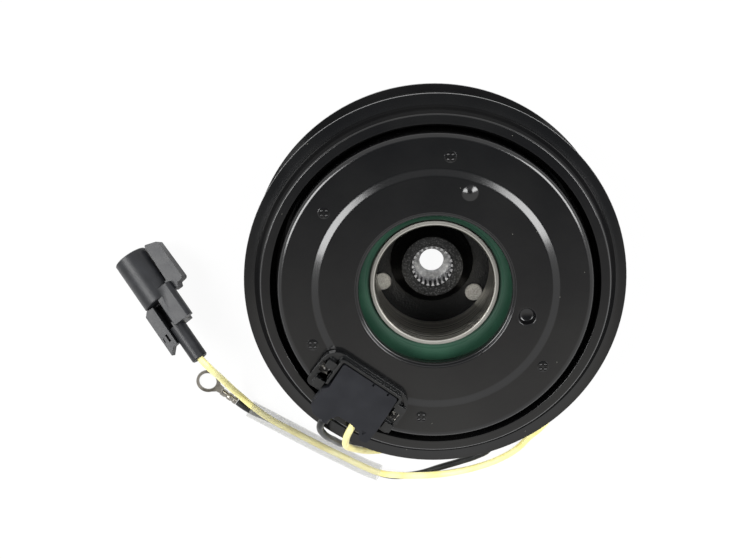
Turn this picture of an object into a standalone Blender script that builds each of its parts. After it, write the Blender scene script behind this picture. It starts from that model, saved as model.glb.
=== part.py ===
"""Electromagnetic clutch of a car air conditioning compressor.

The clutch lies on its front face, so its axis is +Z and the compressor side is up.
Sizes are in metres.
"""
import math

import bmesh
import bpy
from mathutils import Matrix, Vector

MM = 0.001

# Clearances
SEAT_GAP = 0.3 * MM          # between pieces that touch on the real clutch
RUN_GAP = 0.8 * MM           # radial running gap between coil and pulley
AIR_GAP = 0.55 * MM          # armature to friction face, clutch released

# Hub, from the splined bore outwards and the front face up
SPLINE_TEETH = 24
SPLINE_MAJOR_RADIUS = 7.5 * MM
SPLINE_DEPTH = 1.0 * MM
SPLINE_MINOR_RADIUS = SPLINE_MAJOR_RADIUS - SPLINE_DEPTH
SPLINE_LENGTH = 7.0 * MM
BOLT_HOLE_RADIUS = 4.4 * MM
HUB_BOSS_WALL = 3.5 * MM
HUB_BOSS_RADIUS = SPLINE_MAJOR_RADIUS + HUB_BOSS_WALL
HUB_BOSS_CHAMFER = 0.5 * MM
HUB_CONE_REACH = 3.5 * MM
HUB_SHOULDER_RADIUS = HUB_BOSS_RADIUS + HUB_CONE_REACH
HUB_SHOULDER_RISE = 1.6 * MM  # foot of the cone above the flange
HUB_CONE_RISE = 5.6 * MM      # head of the cone above the flange
HUB_BOSS_RISE = 7.85 * MM     # boss end above the flange
RIVET_SHANK_RADIUS = 2.1 * MM
RIVET_HEAD_RADIUS = 3.2 * MM
RIVET_HEAD_HEIGHT = 0.8 * MM
RIVET_HEAD_EDGE = 0.3 * MM
RIVET_LAND = 1.6 * MM         # from the hub shoulder to the rivet heads
HUB_RIVET_CIRCLE = HUB_SHOULDER_RADIUS + RIVET_LAND + RIVET_HEAD_RADIUS
HUB_RIVET_ANGLE = 83.0        # degrees, the first of three
HUB_FLANGE_THICK = 3.0 * MM
HUB_FLANGE_MARGIN = 3.0 * MM  # outside the rivet heads
HUB_FLANGE_RADIUS = HUB_RIVET_CIRCLE + RIVET_HEAD_RADIUS + HUB_FLANGE_MARGIN

# Bearing, from its bore outwards
BEARING_BORE_RADIUS = 20.0 * MM
BEARING_SECTION = 11.0 * MM   # bore to outside
BEARING_OUTER_RADIUS = BEARING_BORE_RADIUS + BEARING_SECTION
BEARING_CHAMFER = 0.5 * MM
INNER_LIP = 1.8 * MM
INNER_LIP_RADIUS = BEARING_BORE_RADIUS + INNER_LIP
RING_SECTION = 2.9 * MM
INNER_SHOULDER_RADIUS = BEARING_BORE_RADIUS + RING_SECTION
OUTER_SHOULDER_RADIUS = BEARING_OUTER_RADIUS - RING_SECTION
BALL_COUNT = 12
BALL_PITCH_RADIUS = (BEARING_BORE_RADIUS + BEARING_OUTER_RADIUS) / 2
RACE_DEPTH = 0.55 * MM        # ball sunk into each ring
BALL_RADIUS = (OUTER_SHOULDER_RADIUS - INNER_SHOULDER_RADIUS) / 2 + RACE_DEPTH
CAGE_HALF_THICK = 1.0 * MM
CAGE_HALF_HEIGHT = BALL_RADIUS + 1.65 * MM
SEAL_THICK = 1.6 * MM
SEAL_RECESS = 0.3 * MM
SNAP_RING_THICK = 1.2 * MM
SNAP_RING_DEPTH = 1.3 * MM    # into the groove of the pulley tube
SNAP_RING_LIP = 1.0 * MM      # inside the tube wall
SNAP_RING_HALF_GAP = 9.0      # degrees
TUBE_LIP = 1.6 * MM           # pulley tube above the snap ring

# Pulley and coil, from the bearing outwards
TUBE_WALL = 3.3 * MM
TUBE_INNER_RADIUS = BEARING_OUTER_RADIUS + SEAT_GAP
TUBE_OUTER_RADIUS = TUBE_INNER_RADIUS + TUBE_WALL
SHOULDER_DROP = 2.7 * MM      # bearing shoulder inside the bearing bore
COIL_INNER_RADIUS = TUBE_OUTER_RADIUS + RUN_GAP
COIL_SECTION = 17.6 * MM
COIL_OUTER_RADIUS = COIL_INNER_RADIUS + COIL_SECTION
POLE_RADIUS = COIL_OUTER_RADIUS + RUN_GAP
CAVITY_MOUTH_STEP = 1.5 * MM
CAVITY_MOUTH_RADIUS = POLE_RADIUS + CAVITY_MOUTH_STEP
CAVITY_MOUTH_DEPTH = 5.0 * MM
RIM_WALL = 6.1 * MM           # from the coil's pole to the groove roots
GROOVES = 6
GROOVE_PITCH = 3.56 * MM
GROOVE_DEPTH = 2.6 * MM
GROOVE_HALF_ANGLE = 20.0      # degrees
GROOVE_CREST = 0.8 * MM
GROOVE_CREST_RADIUS = POLE_RADIUS + RIM_WALL + GROOVE_DEPTH
RIM_LIP = 2.0 * MM
RIM_RADIUS = GROOVE_CREST_RADIUS + RIM_LIP
FLANGE_EDGE = 1.45 * MM
FLANGE_SLOPE = 0.77 * MM
BACK_LAND = 3.0 * MM
BACK_SLOPE_HEAD = CAVITY_MOUTH_RADIUS + BACK_LAND
BACK_SLOPE_REACH = 2.0 * MM
BACK_SLOPE_FOOT = BACK_SLOPE_HEAD + BACK_SLOPE_REACH
BACK_RAISE = 4.5 * MM
FRICTION_PROUD = 2.2 * MM     # friction face beyond the front flange
FRICTION_THICK = 4.5 * MM
FRICTION_LIP = 1.4 * MM
FRICTION_OUTER_RADIUS = POLE_RADIUS + FRICTION_LIP
FRICTION_EDGE_WIDTH = 2.0 * MM
FRICTION_SLOTS = 6
FRICTION_SLOT_HALF_WIDTH = 1.2 * MM
FRICTION_SLOT_INSET = 4.8 * MM
FRICTION_SLOT_INNER = COIL_INNER_RADIUS + FRICTION_SLOT_INSET
FRICTION_SLOT_OUTSET = 6.0 * MM
FRICTION_SLOT_OUTER = COIL_OUTER_RADIUS - FRICTION_SLOT_OUTSET
SHELL_WALL = 2.5 * MM
SHELL_BACK = 3.0 * MM
SHELL_FRONT_GAP = 1.0 * MM    # coil shell to friction disc
RESIN_SINK = 0.3 * MM         # resin below the mouth of the coil shell
RESIN_THICK = 1.8 * MM
BOBBIN_WALL = 1.0 * MM

# Armature and the pieces between it and the hub
ARMATURE_THICK = 4.8 * MM
ARMATURE_BORE_CLEAR = 1.5 * MM
ARMATURE_INNER_RADIUS = HUB_FLANGE_RADIUS + ARMATURE_BORE_CLEAR
ARMATURE_INSET = 2.0 * MM
ARMATURE_OUTER_RADIUS = COIL_OUTER_RADIUS - ARMATURE_INSET
ARMATURE_RIVET_MARGIN = 7.0 * MM
ARMATURE_RIVET_CIRCLE = ARMATURE_OUTER_RADIUS - ARMATURE_RIVET_MARGIN
ARMATURE_SINK = 1.8 * MM      # counterbore in the friction side of the armature
SINK_RADIUS = RIVET_HEAD_RADIUS + SEAT_GAP
ARMATURE_SLOTS = 4
ARMATURE_SLOT_HALF_WIDTH = 1.1 * MM
ARMATURE_SLOT_SHIFT = 0.75 * MM  # outside the middle of the land inside the rivets
ARMATURE_SLOT_MIDDLE = (ARMATURE_INNER_RADIUS + ARMATURE_RIVET_CIRCLE - SINK_RADIUS) / 2
ARMATURE_SLOT_RADIUS = ARMATURE_SLOT_MIDDLE + ARMATURE_SLOT_SHIFT
LEAF_SWEEP = 62.0             # degrees from a hub rivet to its armature rivet
LEAF_THICK = 0.8 * MM
LEAF_MARGIN = 2.5 * MM        # spring beside the rivet shanks
LEAF_HALF_WIDTH = RIVET_SHANK_RADIUS + LEAF_MARGIN
STOP_PLATE_THICK = 2.0 * MM
RIVET_SINK = 1.2 * MM         # counterbore in the front of the stop plate
STOP_PLATE_MARGIN = 1.5 * MM
STOP_PLATE_RADIUS = HUB_RIVET_CIRCLE + RIVET_HEAD_RADIUS + STOP_PLATE_MARGIN
STOP_PLATE_BORE = SPLINE_MAJOR_RADIUS + 1.5 * MM
STOP_BUFFER_RADIUS = 3.4 * MM
BUFFER_NECK_RADIUS = STOP_BUFFER_RADIUS / 2
BUFFER_NECK_SINK = 0.4 * MM
STOP_BUFFER_CIRCLE = ARMATURE_INNER_RADIUS + STOP_BUFFER_RADIUS + 2.6 * MM
STOP_EAR_MARGIN = 2.6 * MM
STOP_EAR_HALF_WIDTH = STOP_BUFFER_RADIUS + STOP_EAR_MARGIN
STOP_EAR_RADIUS = STOP_BUFFER_CIRCLE + STOP_EAR_HALF_WIDTH - 1.0 * MM
STOP_EAR_TURN = 92.0          # degrees from a hub rivet to the next ear

# Mounting plate
PLATE_THICK = 3.2 * MM
PLATE_INSET = 0.1 * MM
PLATE_RADIUS = COIL_OUTER_RADIUS - PLATE_INSET
PLATE_EDGE_WIDTH = 1.6 * MM
PLATE_EDGE_DROP = 2.8 * MM
PLATE_BORE_REACH = 5.6 * MM   # plate bore outside the bearing bore
PLATE_BORE_RADIUS = BEARING_BORE_RADIUS + PLATE_BORE_REACH
PLATE_BORE_EDGE = 0.7 * MM
PLATE_LAND = 13.6 * MM        # flat from the bore to the step
PLATE_STEP_RADIUS = PLATE_BORE_RADIUS + PLATE_LAND
PLATE_STEP_WIDTH = 1.3 * MM
PLATE_STEP_DEPTH = 0.6 * MM
PLATE_ABOVE_PULLEY = 3.2 * MM
DIMPLE_RADIUS = 2.8 * MM
DIMPLE_DEPTH = 1.2 * MM
RECESS_PLACE = (30.6 * MM, -8.7 * MM)
DOME_PLACE = (10.8 * MM, 33.5 * MM)
DOME_HEIGHT = 1.0 * MM

# Terminal box, in its own frame: x along its long side, y towards the clutch axis
BOX_TURN = -35.0              # degrees
BASE_THICK = 1.6 * MM
BASE_LEFT = -18.0 * MM
BASE_RIGHT = 16.0 * MM
BASE_INNER = -34.6 * MM
BASE_OUTER = -50.6 * MM
BASE_CORNER = 6.0 * MM
BASE_OUTER_CORNER = 2.0 * MM
BOX_WALL = 0.9 * MM
FENCE_GAP = 0.35 * MM
FENCE_CORNER = 1.2 * MM
FENCE_INNER_CORNER = 0.5 * MM
FENCE_LEFT_END = -46.0 * MM
FENCE_RIGHT_END = -40.0 * MM
WALL_HEIGHT = 3.4 * MM
FENCE_ROOT = 0.5 * MM         # fence and tabs sunk into the base
LID_LEFT = -11.4 * MM
LID_RIGHT = 10.6 * MM
LID_INNER = -36.8 * MM
LID_OUTER = -53.0 * MM
LID_HORN = 3.4 * MM           # corner round the black lead, outside the lid's edge
LID_HORN_SLANT = 0.8 * MM
LID_HORN_STEP = 0.4 * MM
LID_HORN_WIDTH = 5.4 * MM
LID_HORN_FLANK = 8.6 * MM
LID_LIP = 3.0 * MM            # corner beside the yellow lead
LID_LIP_STEP = 0.5 * MM
LID_LIP_WIDTH = 4.2 * MM
LID_HEIGHT = 4.0 * MM
LID_SKIN = 0.9 * MM
TAB_LENGTH = 4.4 * MM
TAB_HALF_WIDTH = 1.4 * MM
TAB_HEIGHT = 2.6 * MM
TAB_ROWS = (-40.0 * MM, -47.6 * MM)
CLIP_THICK = 0.6 * MM
CLIP_REACH = 3.4 * MM
CLIP_LOW = 1.6 * MM
CLIP_HIGH = 2.0 * MM
DIODE_RADIUS = 1.0 * MM
DIODE_LENGTH = 5.0 * MM
DIODE_ROW = -41.0 * MM
YELLOW_EXIT = 3.9 * MM
BLACK_EXIT = -5.5 * MM

# Leads and what is on them
LEAD_RADIUS = 1.25 * MM
LEAD_HOLE_GAP = 0.45 * MM     # round a lead where it leaves the box or the plug
SLEEVE_RADIUS = 3.2 * MM
SLEEVE_WALL = 0.3 * MM
RING_HOLE_RADIUS = 3.3 * MM
RING_STRIP = 1.05 * MM
RING_RADIUS = RING_HOLE_RADIUS + RING_STRIP
RING_THICK = 0.8 * MM
RING_REST = 0.1 * MM          # eye above the floor
NECK_HALF_WIDTH = 1.3 * MM
NECK_LENGTH = 2.2 * MM
CRIMP_RADIUS = 1.4 * MM
CRIMP_LENGTH = 6.8 * MM
RING_PLACE = (-84.0 * MM, -48.9 * MM)
RING_TURN = -36.0             # degrees, from the ring to its lead

# Plug, along x from its mouth
PLUG_MOUTH = (-109.2 * MM, 1.15 * MM)
PLUG_TURN = -51.8             # degrees
PLUG_TILT = 20.0              # degrees, mouth down
BARREL_RADIUS = 6.35 * MM
BARREL_LENGTH = 19.8 * MM
BARREL_WALL = 1.1 * MM
MOUTH_DEPTH = 15.0 * MM
WING_START = 0.8 * MM
WING_LENGTH = 16.0 * MM
WING_REACH = 11.6 * MM
WING_HALF_THICK = 2.4 * MM
WING_SLOT = 1.0 * MM
BODY_LENGTH = 11.0 * MM
BODY_HALF_HEIGHT = 4.6 * MM
TAIL_RADIUS = 3.0 * MM
TAIL_LENGTH = 14.2 * MM
LOCK_LENGTH = 18.4 * MM
LOCK_WIDTH = 4.4 * MM
LOCK_HALF_HEIGHT = 3.6 * MM
PIN_HALF_WIDTH = 0.75 * MM
PIN_LENGTH = 6.5 * MM

# Roundness of the solids
LARGE_STEPS = 40
RING_STEPS = 28
BARREL_STEPS = 20
SMALL_STEPS = 10

# Heights that follow from the sizes above
BEARING_ABOVE_FRICTION = 6.15 * MM
BEARING_BELOW_PLATE = 9.05 * MM
LEAF_LOW = STOP_PLATE_THICK + SEAT_GAP
LEAF_HIGH = LEAF_LOW + LEAF_THICK
HUB_LOW = LEAF_HIGH + SEAT_GAP
HUB_FLANGE_HIGH = HUB_LOW + HUB_FLANGE_THICK
HUB_BOSS_HIGH = HUB_FLANGE_HIGH + HUB_BOSS_RISE
ARMATURE_LOW = HUB_LOW
ARMATURE_HIGH = ARMATURE_LOW + ARMATURE_THICK
FRICTION_LOW = ARMATURE_HIGH + AIR_GAP
FRICTION_HIGH = FRICTION_LOW + FRICTION_THICK
RIM_LOW = FRICTION_LOW + FRICTION_PROUD
GROOVES_LOW = RIM_LOW + FLANGE_EDGE + FLANGE_SLOPE
GROOVES_HIGH = GROOVES_LOW + GROOVES * GROOVE_PITCH
RIM_HIGH = GROOVES_HIGH + FLANGE_SLOPE + FLANGE_EDGE
BACK_HIGH = RIM_HIGH + BACK_RAISE
PLATE_LOW = BACK_HIGH + PLATE_ABOVE_PULLEY - PLATE_THICK
PLATE_HIGH = PLATE_LOW + PLATE_THICK
SHELL_HIGH = PLATE_LOW - SEAT_GAP
SHELL_LOW = FRICTION_HIGH + SHELL_FRONT_GAP
BEARING_LOW = FRICTION_LOW + BEARING_ABOVE_FRICTION
BEARING_HIGH = PLATE_HIGH - BEARING_BELOW_PLATE
BEARING_MID = (BEARING_LOW + BEARING_HIGH) / 2
SNAP_LOW = BEARING_HIGH + SEAT_GAP
SNAP_HIGH = SNAP_LOW + SNAP_RING_THICK
TUBE_HIGH = SNAP_HIGH + SEAT_GAP + TUBE_LIP
BASE_LOW = PLATE_HIGH + SEAT_GAP
BASE_HIGH = BASE_LOW + BASE_THICK
LID_LOW = BASE_HIGH + SEAT_GAP
LID_HIGH = LID_LOW + LID_HEIGHT


def material(name, colour, roughness, metallic=0.0):
    """Principled material with a linear colour."""
    look = bpy.data.materials.new(name)
    look.use_nodes = True
    shader = look.node_tree.nodes["Principled BSDF"]
    shader.inputs["Base Color"].default_value = (*colour, 1.0)
    shader.inputs["Roughness"].default_value = roughness
    shader.inputs["Metallic"].default_value = metallic
    look.diffuse_color = (*colour, 1.0)
    return look


def add_object(name, bm, look):
    """Object with the bmesh's shape, faces pointing out and round faces smooth."""
    bmesh.ops.recalc_face_normals(bm, faces=bm.faces)
    mesh = bpy.data.meshes.new(name)
    bm.to_mesh(mesh)
    bm.free()
    mesh.shade_smooth()
    mesh.set_sharp_from_angle(angle=math.radians(30))
    mesh.materials.append(look)
    obj = bpy.data.objects.new(name, mesh)
    bpy.context.collection.objects.link(obj)
    return obj


def place(obj, location, turn=0.0):
    """Set an object's place and its turn about Z, in degrees."""
    obj.location = location
    obj.rotation_euler = (0.0, 0.0, math.radians(turn))
    return obj


def polar(radius, degrees):
    """Point at a radius and an angle."""
    angle = math.radians(degrees)
    return Vector((radius * math.cos(angle), radius * math.sin(angle)))


def circle(radius, steps, centre=(0.0, 0.0)):
    """Closed round outline."""
    return [Vector(centre) + polar(radius, 360 * i / steps) for i in range(steps)]


def rounded(corners, steps=3):
    """Closed outline through corners (x, y, radius), each rounded by its radius."""
    outline = []
    for i, (x, y, radius) in enumerate(corners):
        corner = Vector((x, y))
        if radius == 0:
            outline.append(corner)
            continue
        before = (Vector(corners[i - 1][:2]) - corner).normalized()
        after = (Vector(corners[(i + 1) % len(corners)][:2]) - corner).normalized()
        half = before.angle(after) / 2
        centre = corner + (before + after).normalized() * radius / math.sin(half)
        first = corner + before * radius / math.tan(half) - centre
        last = corner + after * radius / math.tan(half) - centre
        start = math.atan2(first.y, first.x)
        sweep = math.atan2(first.x * last.y - first.y * last.x, first.dot(last))
        for k in range(steps + 1):
            outline.append(centre + polar(radius, math.degrees(start + sweep * k / steps)))
    return outline


def arc_slot(radius, half_width, middle, half_angle, steps=4):
    """Curved slot along a circle, with square ends, angles in degrees."""
    outline = []
    for i in range(steps + 1):
        outline.append(polar(radius + half_width, middle + half_angle * (2 * i / steps - 1)))
    for i in range(steps + 1):
        outline.append(polar(radius - half_width, middle - half_angle * (2 * i / steps - 1)))
    return outline


def turned(profile, steps):
    """Body turned about Z from (radius, height) points; it may start and end on the axis."""
    bm = bmesh.new()
    verts = [bm.verts.new((r, 0.0, z)) for r, z in profile]
    edges = [bm.edges.new(pair) for pair in zip(verts, verts[1:])]
    if profile[0][0] > 0:
        edges.append(bm.edges.new((verts[-1], verts[0])))
    bmesh.ops.spin(
        bm, geom=verts + edges, cent=(0, 0, 0), axis=(0, 0, 1),
        angle=2 * math.pi, steps=steps, use_merge=True,
    )
    bmesh.ops.remove_doubles(bm, verts=bm.verts, dist=1e-6)
    return bm


def sheet(outline, low, high, holes=()):
    """Flat body between two heights, with holes through it."""
    bm = bmesh.new()
    edges = []
    for loop in (outline, *holes):
        verts = [bm.verts.new((point[0], point[1], low)) for point in loop]
        edges += [bm.edges.new(pair) for pair in zip(verts, verts[1:] + verts[:1])]
    bmesh.ops.triangle_fill(bm, edges=edges, use_beauty=True)
    raised = bmesh.ops.extrude_face_region(bm, geom=bm.faces[:])
    top = [item for item in raised["geom"] if isinstance(item, bmesh.types.BMVert)]
    bmesh.ops.translate(bm, verts=top, vec=(0, 0, high - low))
    return bm


def block(low, high):
    """Box between two corners."""
    bm = bmesh.new()
    bmesh.ops.create_cube(bm, size=1.0)
    size = Vector(high) - Vector(low)
    bmesh.ops.scale(bm, vec=size, verts=bm.verts)
    bmesh.ops.translate(bm, vec=(Vector(low) + Vector(high)) / 2, verts=bm.verts)
    return bm


def lying(bm, start):
    """Turn a body that stands along Z down to +X, and move its foot to a point."""
    bmesh.ops.rotate(bm, cent=(0, 0, 0), matrix=Matrix.Rotation(math.pi / 2, 3, "Y"), verts=bm.verts)
    bmesh.ops.translate(bm, vec=start, verts=bm.verts)
    return bm


def hidden(name, bm):
    """Cutter or tool body that is no piece of the clutch."""
    tool = add_object(name, bm, bpy.data.materials["tool"])
    tool.hide_render = True
    tool.display_type = "WIRE"
    return tool


def combine(obj, tool, operation):
    """Boolean of an object with a tool, which follows the object's place."""
    tool.parent = obj
    step = obj.modifiers.new(tool.name, "BOOLEAN")
    step.operation = operation
    step.object = tool
    step.solver = "EXACT"
    return obj


def merged(*bodies):
    """One bmesh with several separate bodies."""
    result = bmesh.new()
    for body in bodies:
        mesh = bpy.data.meshes.new("body")
        bmesh.ops.recalc_face_normals(body, faces=body.faces)
        body.to_mesh(mesh)
        body.free()
        result.from_mesh(mesh)
        bpy.data.meshes.remove(mesh)
    return result


def make_pulley(look):
    """Belt ring, friction disc and bearing tube, forged and turned as one piece."""
    shoulder_radius = BEARING_OUTER_RADIUS - SHOULDER_DROP
    profile = [
        (shoulder_radius, FRICTION_LOW),
        (FRICTION_OUTER_RADIUS, FRICTION_LOW),
        (FRICTION_OUTER_RADIUS + FRICTION_EDGE_WIDTH, RIM_LOW),
        (RIM_RADIUS, RIM_LOW),
        (RIM_RADIUS, RIM_LOW + FLANGE_EDGE),
    ]
    crest_half = GROOVE_CREST / 2
    wall = GROOVE_DEPTH * math.tan(math.radians(GROOVE_HALF_ANGLE))
    for i in range(GROOVES):
        low = GROOVES_LOW + i * GROOVE_PITCH
        high = low + GROOVE_PITCH
        profile += [
            (GROOVE_CREST_RADIUS, low + crest_half),
            (GROOVE_CREST_RADIUS - GROOVE_DEPTH, low + crest_half + wall),
            (GROOVE_CREST_RADIUS - GROOVE_DEPTH, high - crest_half - wall),
            (GROOVE_CREST_RADIUS, high - crest_half),
        ]
    profile += [
        (RIM_RADIUS, RIM_HIGH - FLANGE_EDGE),
        (RIM_RADIUS, RIM_HIGH),
        (BACK_SLOPE_FOOT, RIM_HIGH),
        (BACK_SLOPE_HEAD, BACK_HIGH),
        (CAVITY_MOUTH_RADIUS, BACK_HIGH),
        (CAVITY_MOUTH_RADIUS, BACK_HIGH - CAVITY_MOUTH_DEPTH),
        (POLE_RADIUS, BACK_HIGH - CAVITY_MOUTH_DEPTH - CAVITY_MOUTH_STEP),
        (POLE_RADIUS, FRICTION_HIGH),
        (TUBE_OUTER_RADIUS, FRICTION_HIGH),
        (TUBE_OUTER_RADIUS, TUBE_HIGH),
        (TUBE_INNER_RADIUS, TUBE_HIGH),
        (TUBE_INNER_RADIUS, SNAP_HIGH + SEAT_GAP),
        (TUBE_INNER_RADIUS + SNAP_RING_DEPTH, SNAP_HIGH + SEAT_GAP),
        (TUBE_INNER_RADIUS + SNAP_RING_DEPTH, SNAP_LOW - SEAT_GAP / 2),
        (TUBE_INNER_RADIUS, SNAP_LOW - SEAT_GAP / 2),
        (TUBE_INNER_RADIUS, BEARING_LOW - SEAT_GAP),
        (shoulder_radius, BEARING_LOW - SEAT_GAP),
    ]
    pulley = add_object("pulley_rotor", turned(profile, LARGE_STEPS), look)
    slots = []
    for i in range(FRICTION_SLOTS):
        middle = 360 * i / FRICTION_SLOTS
        outer = arc_slot(FRICTION_SLOT_OUTER, FRICTION_SLOT_HALF_WIDTH, middle, 24.0)
        inner = arc_slot(FRICTION_SLOT_INNER, FRICTION_SLOT_HALF_WIDTH, middle + 30.0, 23.0)
        for outline in (outer, inner):
            slots.append(sheet(outline, FRICTION_LOW - 1 * MM, FRICTION_HIGH + 0.5 * MM))
    combine(pulley, hidden("friction_slots", merged(*slots)), "DIFFERENCE")


def make_bearing(steel, green, cage_look, black):
    """Wide ball bearing between the compressor nose and the pulley."""
    race = BALL_RADIUS + 0.3 * MM
    race_angles = (-36, -13, 13, 36)
    notch = SEAL_THICK + SEAL_RECESS + SEAT_GAP

    inner_groove = []
    outer_groove = []
    for degrees in race_angles:
        reach = polar(race, degrees)
        inner_groove.append((BALL_PITCH_RADIUS - reach.x, BEARING_MID + reach.y))
        outer_groove.append((BALL_PITCH_RADIUS + reach.x, BEARING_MID + reach.y))

    inner = [
        (BEARING_BORE_RADIUS + BEARING_CHAMFER, BEARING_LOW),
        (INNER_LIP_RADIUS, BEARING_LOW),
        (INNER_LIP_RADIUS, BEARING_LOW + notch),
        (INNER_SHOULDER_RADIUS, BEARING_LOW + notch),
        *inner_groove,
        (INNER_SHOULDER_RADIUS, BEARING_HIGH - notch),
        (INNER_LIP_RADIUS, BEARING_HIGH - notch),
        (INNER_LIP_RADIUS, BEARING_HIGH),
        (BEARING_BORE_RADIUS + BEARING_CHAMFER, BEARING_HIGH),
        (BEARING_BORE_RADIUS, BEARING_HIGH - BEARING_CHAMFER),
        (BEARING_BORE_RADIUS, BEARING_LOW + BEARING_CHAMFER),
    ]
    add_object("bearing_inner_ring", turned(inner, RING_STEPS), steel)

    outer = [
        (BEARING_OUTER_RADIUS - BEARING_CHAMFER, BEARING_LOW),
        (OUTER_SHOULDER_RADIUS, BEARING_LOW),
        *outer_groove,
        (OUTER_SHOULDER_RADIUS, BEARING_HIGH),
        (BEARING_OUTER_RADIUS - BEARING_CHAMFER, BEARING_HIGH),
        (BEARING_OUTER_RADIUS, BEARING_HIGH - BEARING_CHAMFER),
        (BEARING_OUTER_RADIUS, BEARING_LOW + BEARING_CHAMFER),
    ]
    add_object("bearing_outer_ring", turned(outer, RING_STEPS), steel)

    cage = [
        (BALL_PITCH_RADIUS - CAGE_HALF_THICK, BEARING_MID - CAGE_HALF_HEIGHT),
        (BALL_PITCH_RADIUS + CAGE_HALF_THICK, BEARING_MID - CAGE_HALF_HEIGHT),
        (BALL_PITCH_RADIUS + CAGE_HALF_THICK, BEARING_MID + CAGE_HALF_HEIGHT),
        (BALL_PITCH_RADIUS - CAGE_HALF_THICK, BEARING_MID + CAGE_HALF_HEIGHT),
    ]
    cage_ring = add_object("bearing_cage", turned(cage, RING_STEPS), cage_look)
    pockets = []
    for i in range(BALL_COUNT):
        pocket = sheet(circle(race, SMALL_STEPS), -3 * CAGE_HALF_THICK, 3 * CAGE_HALF_THICK)
        lying(pocket, (BALL_PITCH_RADIUS, 0, 0))
        turn = Matrix.Rotation(2 * math.pi * i / BALL_COUNT, 3, "Z")
        bmesh.ops.rotate(pocket, cent=(0, 0, 0), matrix=turn, verts=pocket.verts)
        bmesh.ops.translate(pocket, vec=(0, 0, BEARING_MID), verts=pocket.verts)
        pockets.append(pocket)
    combine(cage_ring, hidden("cage_pockets", merged(*pockets)), "DIFFERENCE")

    ball_mesh = None
    for i in range(BALL_COUNT):
        name = f"bearing_ball_{i + 1:02d}"
        if ball_mesh is None:
            bm = bmesh.new()
            bmesh.ops.create_uvsphere(bm, u_segments=8, v_segments=5, radius=BALL_RADIUS)
            ball = add_object(name, bm, steel)
            ball_mesh = ball.data
        else:
            ball = bpy.data.objects.new(name, ball_mesh)
            bpy.context.collection.objects.link(ball)
        ball.location = (*polar(BALL_PITCH_RADIUS, 360 * i / BALL_COUNT), BEARING_MID)

    for name, face, inward, look in (
        ("bearing_seal_back", BEARING_HIGH, -1, green),
        ("bearing_seal_front", BEARING_LOW, 1, black),
    ):
        top = face + inward * SEAL_RECESS
        low_radius = INNER_LIP_RADIUS + SEAT_GAP
        high_radius = OUTER_SHOULDER_RADIUS - SEAT_GAP
        seal = [
            (low_radius, top + inward * SEAL_THICK),
            (low_radius, top + inward * 0.7 * MM),
            (low_radius + 0.9 * MM, top + inward * 0.7 * MM),
            (low_radius + 1.5 * MM, top + inward * 0.1 * MM),
            (low_radius + 3.0 * MM, top),
            (high_radius, top + inward * 0.5 * MM),
            (high_radius, top + inward * SEAL_THICK),
        ]
        add_object(name, turned(seal, RING_STEPS), look)


def make_snap_ring(look):
    """Split ring that keeps the bearing in the pulley tube."""
    outer = TUBE_INNER_RADIUS + SNAP_RING_DEPTH - SEAT_GAP
    inner = TUBE_INNER_RADIUS - SNAP_RING_LIP
    outline = []
    sweep = 360 - 2 * SNAP_RING_HALF_GAP
    for i in range(RING_STEPS + 1):
        outline.append(polar(outer, SNAP_RING_HALF_GAP + sweep * i / RING_STEPS))
    for i in range(RING_STEPS + 1):
        outline.append(polar(inner, SNAP_RING_HALF_GAP + sweep * (1 - i / RING_STEPS)))
    add_object("snap_ring", sheet(outline, SNAP_LOW, SNAP_HIGH), look)


def make_coil(black, copper, plastic, resin_look):
    """Steel shell, bobbin, winding and the resin that closes the front."""
    outer = COIL_OUTER_RADIUS - SEAT_GAP
    inner = COIL_INNER_RADIUS
    floor = SHELL_HIGH - SHELL_BACK
    shell = [
        (inner, SHELL_LOW),
        (inner + SHELL_WALL, SHELL_LOW),
        (inner + SHELL_WALL, floor),
        (outer - SHELL_WALL, floor),
        (outer - SHELL_WALL, SHELL_LOW),
        (outer, SHELL_LOW),
        (outer, SHELL_HIGH),
        (inner, SHELL_HIGH),
    ]
    add_object("coil_shell", turned(shell, LARGE_STEPS), black)

    room_inner = inner + SHELL_WALL + SEAT_GAP
    room_outer = outer - SHELL_WALL - SEAT_GAP
    resin_low = SHELL_LOW + RESIN_SINK
    resin_high = resin_low + RESIN_THICK
    resin = [
        (room_inner, resin_low), (room_outer, resin_low),
        (room_outer, resin_high), (room_inner, resin_high),
    ]
    add_object("coil_resin", turned(resin, RING_STEPS), resin_look)

    spool_low = resin_high + SEAT_GAP
    spool_high = floor - SEAT_GAP
    spool = [
        (room_inner, spool_low),
        (room_outer, spool_low),
        (room_outer, spool_low + BOBBIN_WALL),
        (room_inner + BOBBIN_WALL, spool_low + BOBBIN_WALL),
        (room_inner + BOBBIN_WALL, spool_high - BOBBIN_WALL),
        (room_outer, spool_high - BOBBIN_WALL),
        (room_outer, spool_high),
        (room_inner, spool_high),
    ]
    add_object("coil_bobbin", turned(spool, RING_STEPS), plastic)

    wire_inner = room_inner + BOBBIN_WALL + SEAT_GAP
    wire_low = spool_low + BOBBIN_WALL + SEAT_GAP
    wire_high = spool_high - BOBBIN_WALL - SEAT_GAP
    winding = [
        (wire_inner, wire_low), (room_outer, wire_low),
        (room_outer, wire_high), (wire_inner, wire_high),
    ]
    add_object("coil_winding", turned(winding, RING_STEPS), copper)


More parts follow.
